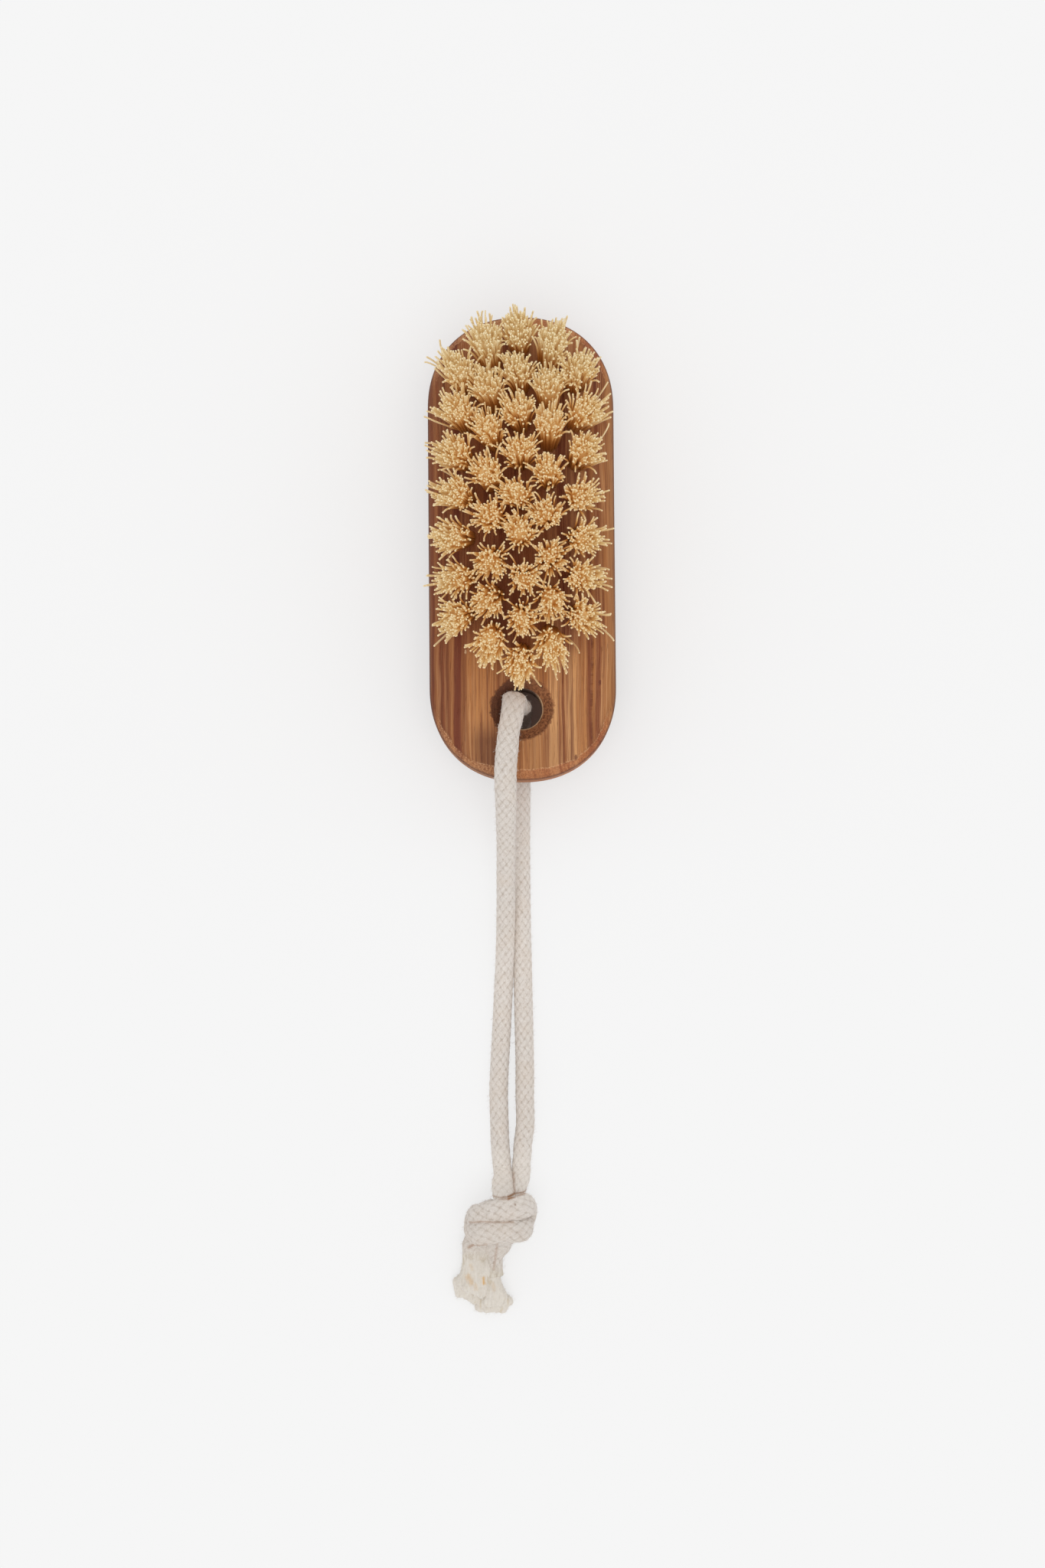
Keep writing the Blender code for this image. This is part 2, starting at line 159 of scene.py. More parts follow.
# The cord's middle line from inside the hole to the knot, over the block and under it, as in the CAD
OVER_RUN = [
    (0.0000, -0.0322, 0.0107), (0.0000, -0.0322, 0.0128), (-0.0006, -0.0340, 0.0168),
    (-0.0018, -0.0369, 0.0189), (-0.0030, -0.0405, 0.0196), (-0.0037, -0.0445, 0.0199),
    (-0.0040, -0.0480, 0.0199), (-0.0041, -0.0520, 0.0188), (-0.0042, -0.0570, 0.0158),
    (-0.0042, -0.0630, 0.0115), (-0.0043, -0.0700, 0.0078), (-0.0044, -0.0780, 0.0053),
    (-0.0046, -0.0860, 0.0036), (-0.0050, -0.0940, 0.0024), (-0.0054, -0.1010, 0.0020),
    (-0.0058, -0.1090, 0.0020), (-0.0060, -0.1175, 0.0020), (-0.0059, -0.1250, 0.0020),
    (-0.0057, -0.1305, 0.0020), (-0.0056, -0.1334, 0.0021),
]
UNDER_RUN = [
    (0.0000, -0.0322, 0.0103), (0.0000, -0.0322, 0.0084), (-0.0001, -0.0344, 0.0044),
    (-0.0002, -0.0371, 0.0026), (-0.0003, -0.0407, 0.0020), (-0.0004, -0.0450, 0.0020),
    (-0.0005, -0.0500, 0.0020), (-0.0007, -0.0630, 0.0020), (-0.0007, -0.0780, 0.0020),
    (-0.0005, -0.0933, 0.0020), (-0.0003, -0.1070, 0.0020), (-0.0003, -0.1175, 0.0020),
    (-0.0006, -0.1250, 0.0020), (-0.0013, -0.1305, 0.0020), (-0.0017, -0.1334, 0.0020),
]

# How far to the right the runs are laid, in mm, by their place along the brush in mm
OVER_SHIFTS = [(-32.0, -1.55), (-37.5, -0.62), (-42.6, 0.05), (-47.3, 0.15), (-56.0, 0.36), (-66.0, 0.30),
               (-105.0, 0.30), (-118.0, 0.0)]
UNDER_SHIFTS = [(-118.0, 0.0), (-126.0, 0.35), (-131.0, 0.40), (-133.9, 0.0)]
SHIFT_IN_HOLE = (-0.20, -1.80)
BEND_SET_BACK = 1.85

# Where a run stands in the hole, lies flattened on the block and bends over the hole's edge, in y and z.
# Each pair fades from nothing to all.
IN_HOLE_Y, IN_HOLE_Z = (-0.0450, -0.0400), (0.0165, 0.0125)
FLAT_Y = (-0.066, -0.047)
BEND_Y, BEND_Z = (-0.0385, -0.0330), (0.0140, 0.0170)
FLAT_SQUEEZE, FLAT_SPREAD, BEND_SPREAD = 0.12, 0.18, 0.12

# The knot's two strands, in widths of the tightened cord from the knot's middle, close to the CAD's
KNOT_CENTRE = Vector((-0.0060, -0.1459, 0.0))
KNOT_PITCH = 0.0037
KNOT_HEART = KNOT_CENTRE + Vector((0.0, 0.0004, 0.0062))
WRAP_REACH = (0.0108, 0.0080)
WRAP_SQUEEZE, WRAP_SPREAD, WRAP_WAVER = 0.15, 0.29, 0.00022
TAIL_Y = (-0.0020, -0.0060)  # from the knot's heart, as the next two are
FLARE_START_Y = (-0.0032, -0.0052)
FLARE_END_Y = (-0.0090, -0.0058)
OVER_STRAND = [
    (0.16, 3.25, 0.57), (0.22, 2.80, 0.68), (0.24, 2.20, 1.15), (0.30, 1.45, 1.80), (0.42, 0.60, 2.15),
    (0.40, -0.20, 2.20), (0.40, -0.84, 1.80), (0.48, -0.98, 1.15), (0.95, -0.66, 0.60),
    (1.50, 0.10, 0.55), (1.68, 0.74, 1.15), (1.62, 1.14, 2.12), (1.10, 1.02, 2.98),
    (0.06, 0.93, 3.12), (-0.77, 0.68, 2.97), (-1.30, 0.52, 2.55), (-1.48, 0.40, 1.95),
    (-1.48, 0.25, 1.60), (-1.45, -0.08, 1.32), (-1.42, -0.50, 1.15), (-1.38, -1.02, 1.00),
    (-1.28, -1.65, 0.85), (-1.29, -2.20, 0.72), (-1.31, -2.75, 0.62),
]
UNDER_STRAND = [
    (1.30, 3.25, 0.54), (1.29, 2.80, 0.57), (1.19, 2.20, 0.80), (0.98, 1.50, 1.05), (0.84, 0.80, 1.15),
    (0.90, 0.30, 1.25), (1.15, -0.04, 1.50), (1.40, -0.20, 1.75), (1.52, -0.23, 2.20),
    (1.30, -0.28, 2.68), (0.70, -0.24, 3.17), (-0.15, -0.26, 3.30), (-1.00, -0.40, 3.08),
    (-1.48, -0.52, 2.30), (-1.60, -0.46, 1.30), (-1.45, 0.10, 0.60), (-1.00, 0.55, 0.65),
    (-0.65, 0.80, 1.20), (-0.55, 0.65, 1.80), (-0.50, -0.05, 1.60), (-0.42, -0.80, 1.20),
    (-0.38, -1.50, 0.80), (-0.40, -2.20, 0.57), (-0.40, -2.80, 0.50), (-0.36, -3.30, 0.50),
]

# Painted brown shade along the creases about the knot: from and to, in mm from its middle, half width, how
# strong
CORD_CREASE_SHADE = [
    (-1.4, 6.1, 0.5, 5.9, 0.30, 0.45), (0.5, 5.9, 1.9, 6.0, 0.30, 0.6), (1.9, 6.0, 3.3, 6.4, 0.45, 1.0),
    (3.3, 6.4, 5.5, 6.7, 0.30, 0.7), (5.5, 6.7, 6.4, 7.1, 0.30, 0.5), (3.3, 6.6, 3.1, 10.5, 0.5, 0.40),
    (-6.4, 0.8, -4.0, 1.3, 0.40, 0.5), (-4.0, 1.3, 3.0, 1.2, 0.35, 0.45), (-6.7, -5.5, -4.7, -4.2, 0.6, 0.6),
    (-4.7, -4.2, -2.8, -3.8, 0.5, 0.4), (-0.45, -3.8, -1.4, -10.5, 0.5, 0.35),
]
# Painted orange-brown shade in the deepest slits of the frayed ends: from and to, in mm from the knot's
# middle, half width, how strong
FRAY_SLIT_SHADE = [
    (-7.0, -12.0, -6.4, -13.2, 1.1, 0.50), (-3.6, -12.2, -3.6, -13.4, 0.65, 0.85),
    (-5.4, -13.8, -5.3, -14.6, 0.7, 0.30), (-6.3, -9.5, -6.0, -10.4, 0.7, 0.20),
    (-1.6, -13.5, -1.4, -15.0, 0.7, 0.25),
]

# The locks of the frayed ends: where each starts and ends in mm from the knot's middle, and its end's height
OVER_LOCKS = [
    (-6.5, -6.2, -9.2, -13.7, 1.3), (-6.4, -6.2, -9.1, -14.9, 1.3), (-6.1, -6.2, -8.7, -15.9, 1.3),
    (-5.3, -6.2, -7.4, -16.3, 1.3), (-4.6, -6.2, -6.2, -16.9, 1.3), (-3.8, -6.2, -5.3, -17.5, 1.3),
    (-3.1, -6.2, -3.9, -17.9, 1.3), (-6.5, -6.2, -8.4, -13.2, 3.0), (-5.8, -6.2, -7.6, -14.2, 3.3),
    (-5.1, -6.2, -6.3, -14.6, 3.4), (-4.2, -6.2, -5.2, -15.2, 3.4), (-3.3, -6.2, -4.0, -15.8, 3.2),
]
UNDER_LOCKS = [
    (-2.6, -11.8, -4.3, -19.1, 1.3), (-2.1, -11.8, -3.0, -19.3, 1.3), (-1.6, -11.8, -1.9, -19.2, 1.3),
    (-1.3, -11.8, -0.8, -19.3, 1.3), (-1.0, -11.8, 0.4, -19.3, 1.3), (-0.8, -11.6, 1.1, -18.3, 1.3),
    (-1.1, -12.6, 1.6, -17.8, 1.3), (-1.0, -12.0, -0.2, -16.2, 1.3), (-2.2, -11.8, -2.9, -17.4, 3.0),
    (-1.6, -11.8, -1.9, -17.6, 3.1), (-1.2, -11.8, -0.6, -17.5, 3.1), (-1.0, -11.8, 0.3, -16.8, 2.9),
]
LOCK_ROOT_HEIGHT = 0.0026
LOCK_RADII = (0.0009, 0.0013, 0.0012)  # at the root, in the middle and at the end
LOCK_BEADS = 14
BRUSHED_VOXEL = 0.00022
BRUSHED_EASING = 8
FLUTE_DEPTH = 0.00022
LOCK_SWAY = 0.0005
LOCK_SWAY_SEED = 1795719807

# The wood: base tones, then the stripes that they make, by their place across the block in mm
WOOD_TONES = {
    "deep": (112, 49, 22), "dark": (110, 55, 25), "red": (133, 72, 37), "tan": (152, 93, 49),
    "gold": (168, 107, 57), "amber": (183, 121, 68), "honey": (197, 138, 82), "pale": (210, 154, 100),
    "dark line": (106, 50, 30), "pale line": (212, 156, 104), "fine dark": (112, 60, 34),
    "fine pale": (220, 168, 118), "dark hair": (104, 54, 30), "pale hair": (220, 170, 120),
    "pore": (78, 40, 24), "among tufts": (112, 40, 26), "left of cord": (92, 47, 26),
    "right of cord": (108, 58, 33), "end grain": (208, 152, 108), "end pore": (150, 96, 62),
    "shaded end grain": (190, 116, 74), "shaded end pore": (140, 76, 48), "lip_highlight": (226, 176, 130),
    "rounding_shade": (102, 48, 24), "brink_shade": (80, 46, 32), "crack": (96, 38, 22), "torn pale": (170, 112, 74),
    "torn dark": (104, 60, 38), "torn edge": (84, 46, 28), "shade": (66, 38, 30), "lit shade": (96, 56, 42),
    "bore edge": (118, 96, 84), "rim_highlight": (226, 190, 150),
}
WOOD_STRIPES = [
    [
        (-20.0, "red"), (-19.3, "red"), (-18.6, "tan"), (-18.0, "red"), (-17.4, "dark"), (-16.9, "red"),
        (-16.3, "dark"), (-15.8, "tan"), (-15.0, "tan"), (-14.7, "deep"), (-13.4, "deep"), (-13.1, "tan"),
        (-12.2, "tan"), (-11.7, "gold"), (-11.2, "amber"), (-8.6, "amber"), (-7.2, "amber"), (-5.5, "tan"),
        (-2.4, "tan"), (0.4, "amber"),
    ],
    [
        (0.4, "amber"), (2.6, "honey"), (4.2, "amber"), (5.3, "gold"), (5.8, "pale"), (7.5, "pale"),
        (7.8, "tan"), (8.4, "red"), (9.0, "tan"), (9.6, "red"), (9.9, "pale"), (11.4, "pale"), (11.9, "gold"),
        (12.7, "amber"), (13.7, "amber"), (14.0, "red"), (14.7, "red"), (15.0, "tan"), (15.4, "amber"),
        (15.9, "red"), (17.1, "red"), (17.5, "tan"), (17.9, "amber"), (18.8, "honey"), (20.0, "gold"),
    ],
]

# Small marks on the wood: where, how big, in mm, and their tone
WOOD_MARKS = [
    (11.2, -45.3, 0.45, (112, 62, 38)), (-12.2, -22.5, 0.3, (214, 182, 144)),
    (16.5, -29.3, 0.4, (100, 44, 26)),
]

COTTON_TONES = {
    "crease": (172, 159, 147), "strand": (210, 202, 195), "between yarns": (180, 168, 156),
    "pale yarn": (226, 220, 214), "dull yarn": (182, 166, 151), "pale fuzz": (232, 227, 219),
    "dull fuzz": (174, 160, 146), "grey": (205, 199, 191), "tea": (204, 182, 160), "handled": (170, 157, 141),
    "painted light": (234, 227, 217), "loose pale": (212, 205, 193), "loose dull": (190, 179, 161),
    "painted_crease_shade": (150, 108, 74), "seed": (120, 86, 52), "in the hole": (104, 80, 66),
}
FRAY_TONES = {
    "shaded slit": (203, 191, 173), "crest": (213, 206, 196), "deep slit shade": (206, 164, 104),
    "dull streak": (192, 180, 163), "pale streak": (228, 223, 215), "fuzz": (240, 236, 227),
}
FIBRE_TONES = {
    "root": (116, 74, 40), "stem": (166, 116, 62), "golden": (196, 150, 90), "straw": (224, 192, 136),
    "pale": (231, 210, 166), "end": (232, 216, 180), "brown": (190, 142, 84), "shine": (236, 222, 190),
    "cut": (204, 178, 130), "pale straw": (226, 213, 178), "deep glow": (80, 42, 14),
    "stem glow": (150, 90, 34), "golden glow": (200, 142, 70), "end glow": (206, 168, 108),
    "straw glow": (188, 170, 128),
}


def smoothstep(low, high, value):
    share = min(max((value - low) / (high - low), 0.0), 1.0)
    return share * share * (3 - 2 * share)


def paint(red, green, blue):
    """A colour as a paint chart gives it, 0 to 255, in the linear values that shaders take."""
    linear = []
    for part in (red, green, blue):
        part /= 255
        linear.append(part / 12.92 if part <= 0.04045 else ((part + 0.055) / 1.055) ** 2.4)
    return (*linear, 1.0)


# Nodes

class Link:
    """A node's output. Arithmetic on it adds Math nodes, or Vector Math nodes where a vector takes part."""

    def __init__(self, nodes, socket):
        self.nodes = nodes
        self.socket = socket

    def calculate(self, operation, first, second):
        vector = any(isinstance(value, Link) and value.socket.type == "VECTOR" for value in (first, second))
        kind = "ShaderNodeVectorMath" if vector else "ShaderNodeMath"
        return self.nodes.node(kind, {"operation": operation}, {0: first, 1: second})

    def __add__(self, other):
        return self.calculate("ADD", self, other)

    def __radd__(self, other):
        return self.calculate("ADD", other, self)

    def __sub__(self, other):
        return self.calculate("SUBTRACT", self, other)

    def __rsub__(self, other):
        return self.calculate("SUBTRACT", other, self)

    def __mul__(self, other):
        return self.calculate("MULTIPLY", self, other)

    def __rmul__(self, other):
        return self.calculate("MULTIPLY", other, self)

    def __truediv__(self, other):
        return self.calculate("DIVIDE", self, other)

    def __abs__(self):
        return self.nodes.math("ABSOLUTE", self)


class Nodes:
    """A node tree that is written as expressions."""

    def __init__(self, tree):
        self.tree = tree

    def node(self, kind, settings=None, values=None, output=0):
        """Add a node, choose its settings, then fill or link its inputs, and give one of its outputs."""
        node = self.tree.nodes.new(kind)
        for name, setting in (settings or {}).items():
            if name == "stops":
                self.set_stops(node.color_ramp, setting)
            else:
                setattr(node, name, setting)
        for key, value in (values or {}).items():
            socket = node.inputs[key]
            if isinstance(value, Link):
                self.tree.links.new(value.socket, socket)
            elif socket.type == "VECTOR" and isinstance(value, (int, float)):
                socket.default_value = (value, value, value)
            else:
                socket.default_value = value
        return Link(self, node.outputs[output])

    def set_stops(self, ramp, stops):
        first, last = ramp.elements
        first.position, first.color = stops[0]
        last.position, last.color = stops[-1]
        for place, colour in stops[1:-1]:
            ramp.elements.new(place).color = colour

    def math(self, operation, *values):
        return self.node("ShaderNodeMath", {"operation": operation}, dict(enumerate(values)))

    def vector(self, operation, *values, output=0):
        return self.node("ShaderNodeVectorMath", {"operation": operation}, dict(enumerate(values)), output)

    def limit(self, value, low, high):
        return self.math("MINIMUM", self.math("MAXIMUM", value, low), high)

    def distance(self, x, y):
        return self.math("SQRT", x * x + y * y)

    def combine(self, x, y, z):
        return self.node("ShaderNodeCombineXYZ", None, {0: x, 1: y, 2: z})

    def separate(self, vector):
        split = self.node("ShaderNodeSeparateXYZ", None, {0: vector}).socket.node
        return [Link(self, socket) for socket in split.outputs]

    def fade(self, value, low, high):
        """0 below low, 1 above high, or the other way about where high is the lower number."""
        settings = {"interpolation_type": "SMOOTHSTEP"}
        if low < high:
            return self.node("ShaderNodeMapRange", settings, {0: value, 1: low, 2: high})
        return self.node("ShaderNodeMapRange", settings, {0: value, 1: high, 2: low, 3: 1.0, 4: 0.0})

    def noise(self, vector, scale=1.0, detail=2.0, roughness=0.5, output=0):
        values = {"Vector": vector, "Scale": scale, "Detail": detail, "Roughness": roughness}
        return self.node("ShaderNodeTexNoise", None, values, output)

    def named(self, name, kind):
        return self.node("GeometryNodeInputNamedAttribute", {"data_type": kind}, {0: name})

    def keep(self, geometry, name, kind, value):
        values = {"Geometry": geometry, "Name": name, "Value": value}
        return self.node("GeometryNodeStoreNamedAttribute", {"data_type": kind, "domain": "POINT"}, values)

    def mix(self, share, first, second):
        return self.node("ShaderNodeMix", {"data_type": "RGBA"}, {0: share, 6: first, 7: second}, 2)


class Finish(Nodes):
    """A procedural material."""

    def __init__(self, name):
        self.material = bpy.data.materials.new(name)
        self.material.use_nodes = True
        super().__init__(self.material.node_tree)
        self.shader = self.tree.nodes["Principled BSDF"]

    def set(self, name, value):
        socket = self.shader.inputs[name]
        if isinstance(value, Link):
            self.tree.links.new(value.socket, socket)
        else:
            socket.default_value = value

    def relief(self, height, distance, strength=1.0):
        values = {"Height": height, "Distance": distance, "Strength": strength}
        self.set("Normal", self.node("ShaderNodeBump", None, values))

    def ramp(self, value, tones, *stops):
        """A colour that runs through named tones, each at its place from 0 to 1."""
        stops = [(place, paint(*tones[name])) for place, name in stops]
        return self.node("ShaderNodeValToRGB", {"stops": stops}, {0: value})

    def tint(self, colour, share, tone):
        """Lay a paint tone over a colour, by a share that may vary over the surface."""
        return self.mix(share, colour, paint(*tone))

    def layers(self, colour, tones, *layers):
        """Lay tones over a colour, each where its pattern fades from low to high, up to its share."""
        for pattern, low, high, share, tone in layers:
            colour = self.tint(colour, self.fade(pattern, low, high) * share, tones[tone])
        return colour

    def attribute(self, name):
        return self.node("ShaderNodeAttribute", {"attribute_name": name}, None, "Fac")

    def place(self):
        return self.node("ShaderNodeTexCoord", None, None, "Object")

    def painted_crease_shade(self, marks, ragged):
        """How much painted shade lies on the marks: lines of (from x, y, to x, y, half width, strength) about
        the knot.
        """
        x, y, _ = self.separate(self.place())
        most = 0.0
        for from_x, from_y, to_x, to_y, width, strength in marks:
            along_x, along_y = to_x - from_x, to_y - from_y
            away_x = x * PER_MM - (KNOT_CENTRE.x * PER_MM + from_x)
            away_y = y * PER_MM - (KNOT_CENTRE.y * PER_MM + from_y)
            part = (away_x * along_x + away_y * along_y) * (1 / (along_x * along_x + along_y * along_y))
            part = self.limit(part, 0.0, 1.0)
            away = self.distance(away_x - part * along_x, away_y - part * along_y) + (ragged - 0.5) * 0.5
            most = self.math("MAXIMUM", self.fade(away, width, 0.0) * strength, most)
        return most


# Pieces

def add_object(name, data):
    item = bpy.data.objects.new(name, data)
    bpy.context.scene.collection.objects.link(item)
    return item


def plain_mesh(source, *spent):
    """What an object's modifiers make of it, as a plain mesh. The object and those it used are removed."""
    mesh = bpy.data.meshes.new_from_object(source.evaluated_get(bpy.context.evaluated_depsgraph_get()))
    for item in (source, *spent):
        data = item.data
        bpy.data.objects.remove(item, do_unlink=True)
        bpy.data.meshes.remove(data)
    return mesh


def add_piece(name, mesh, finish, slot, *nodes):
    piece = add_object(name, mesh)
    if finish:
        mesh.materials.clear()
        mesh.materials.append(finish.material)
    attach(piece, "root")
    if nodes:
        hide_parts(*nodes)
    return piece


def mesh_of(bm, name):
    mesh = bpy.data.meshes.new(name)
    bm.to_mesh(mesh)
    bm.free()
    return mesh


def smooth_route(points, step):
    """Points at even steps along a centripetal Catmull-Rom curve through the given points."""
    given = [Vector(point) for point in points]
    given = [given[0] * 2 - given[1]] + given + [given[-1] * 2 - given[-2]]
    fine = []
    for before, start, end, after in zip(given, given[1:], given[2:], given[3:]):
        at_start = (start - before).length ** 0.5
        at_end = at_start + (end - start).length ** 0.5
        at_after = at_end + (after - end).length ** 0.5
        for i in range(ROUTE_STEPS):
            t = at_start + (at_end - at_start) * i / ROUTE_STEPS
            share = (t - at_start) / (at_end - at_start)
            between = start.lerp(end, share)
            lead_in = before.lerp(start, t / at_start).lerp(between, t / at_end)
            lead_out = end.lerp(after, (t - at_end) / (at_after - at_end))
            lead_out = between.lerp(lead_out, (t - at_start) / (at_after - at_start))
            fine.append(lead_in.lerp(lead_out, share))
    fine.append(given[-2])
    lengths = [(end - start).length for start, end in zip(fine, fine[1:])]
    total = sum(lengths)
    count = max(2, round(total / step))
    even, walked, i = [fine[0]], 0.0, 0
    for k in range(1, count):
        target = total * k / count
        while walked + lengths[i] < target:
            walked += lengths[i]
            i += 1
        even.append(fine[i].lerp(fine[i + 1], (target - walked) / lengths[i]))
    even.append(fine[-1])
    return even


# Camera, straight above, a little turned against the brush

def add_camera():
    data = bpy.data.cameras.new("camera_above")
    data.lens = CAMERA_LENS
    data.sensor_width = CAMERA_SENSOR
    camera = add_object("camera_above", data)
    camera.location = CAMERA_PLACE
    camera.rotation_euler = (0.0, 0.0, math.radians(CAMERA_TURN_DEGREES))
    bpy.context.scene.camera = camera


add_camera()


# Cord

def braid_height(turn, run):
    """Relief of a plain braid of two crossing sets of strands, 0 to 1.

    Turn is how far round the cord, 0 to 1, and run how far along it, in metres. Each strand is a rib that
    rises over the strand it crosses and dives under the next one.
    """
    first = turn * BRAID_STRANDS_EACH_WAY + run / BRAID_PERIOD
    second = turn * BRAID_STRANDS_EACH_WAY - run / BRAID_PERIOD
    highest = 0.0
    for own, other, offset in ((first, second, 0), (second, first, 1)):
        lane = math.floor(own)
        across = 2 * (own - lane) - 1
        rib = math.sqrt(1 - across * across)
        wave = math.cos(math.pi * (other - 0.5)) * (1 if (lane + offset) % 2 == 0 else -1)
        uneven = soft_noise.noise(Vector((lane * 1.7 + offset * 9, math.floor(other + 0.5) * 1.31, 0.5)))
        highest = max(highest, rib * (0.20 + 0.80 * smoothstep(-0.75, 0.70, wave)) * (1 + 0.20 * uneven))
    return highest


def cord_frames(route):
    """A direction square to the route at each of its points, carried along it without twist."""
    tangents = []
    for i in range(len(route)):
        before = route[max(i - 1, 0)]
        after = route[min(i + 1, len(route) - 1)]
        tangents.append((after - before).normalized())
    side = tangents[0].orthogonal().normalized()
    frames = []
    for tangent in tangents:
        side = (side - tangent * side.dot(tangent)).normalized()
        frames.append((tangent, side, tangent.cross(side)))
    return frames


def braid_mesh(name, route, frames, first, last, shape):
    """The braid's skin between two points of its route, with closed ends, resting on the table.

    Shape gives, for a point of the route, the direction in which the cord is flattened, its half widths in
    that direction and across it, how far its middle is moved, and how open the braid is, 0 to 1.
    """
    bm = bmesh.new()
    crest = bm.verts.layers.float.new("crest")
    braid = bm.loops.layers.uv.new("braid")
    rings = []
    for k in range(first, last + 1):
        tangent, side, up = frames[k]
        outward, thin, wide, moved, loose = shape(route[k], tangent)
        sideways = tangent.cross(outward)
        ring = []
        for i in range(BRAID_SIDES):
            turn = i / BRAID_SIDES
            angle = 2 * math.pi * turn
            spin = side * math.cos(angle) + up * math.sin(angle)
            height = braid_height(turn, k * BRAID_STEP)
            wander = soft_noise.noise(Vector((turn * 3, k * BRAID_STEP * 260, 7.0)))
            reach = BRAID_CORE + BRAID_RELIEF * height * (1 - OPENED * loose) + BRAID_WANDER * wander
            offset = outward * (spin.dot(outward) * thin) + sideways * (spin.dot(sideways) * wide)
            point = route[k] + moved + offset * reach
            point.z = max(point.z, TABLE_GAP)
            vert = bm.verts.new(point)
            vert[crest] = height + (0.8 - height) * OPENED * loose
            ring.append(vert)
        rings.append(ring)
    for k, (low, high) in enumerate(zip(rings, rings[1:])):
        for i in range(BRAID_SIDES):
            j = (i + 1) % BRAID_SIDES
            face = bm.faces.new((low[i], low[j], high[j], high[i]))
            face.smooth = True
            turns = (i, i + 1, i + 1, i)
            runs = (first + k, first + k, first + k + 1, first + k + 1)
            for loop, turn, run in zip(face.loops, turns, runs):
                loop[braid].uv = (turn / BRAID_SIDES, run * BRAID_STEP / BRAID_PERIOD)
    for ring, number, away in ((rings[0], first, -1), (rings[-1], last, 1)):
        middle = sum((vert.co for vert in ring), Vector()) / BRAID_SIDES
        centre = bm.verts.new(middle + frames[number][0] * (away * CORD_DIAMETER / 8))
        centre[crest] = 0.3
        for i in range(BRAID_SIDES):
            j = (i + 1) % BRAID_SIDES
            corners = (ring[j], ring[i], centre) if away < 0 else (ring[i], ring[j], centre)
            face = bm.faces.new(corners)
            face.smooth = True
    return mesh_of(bm, name)


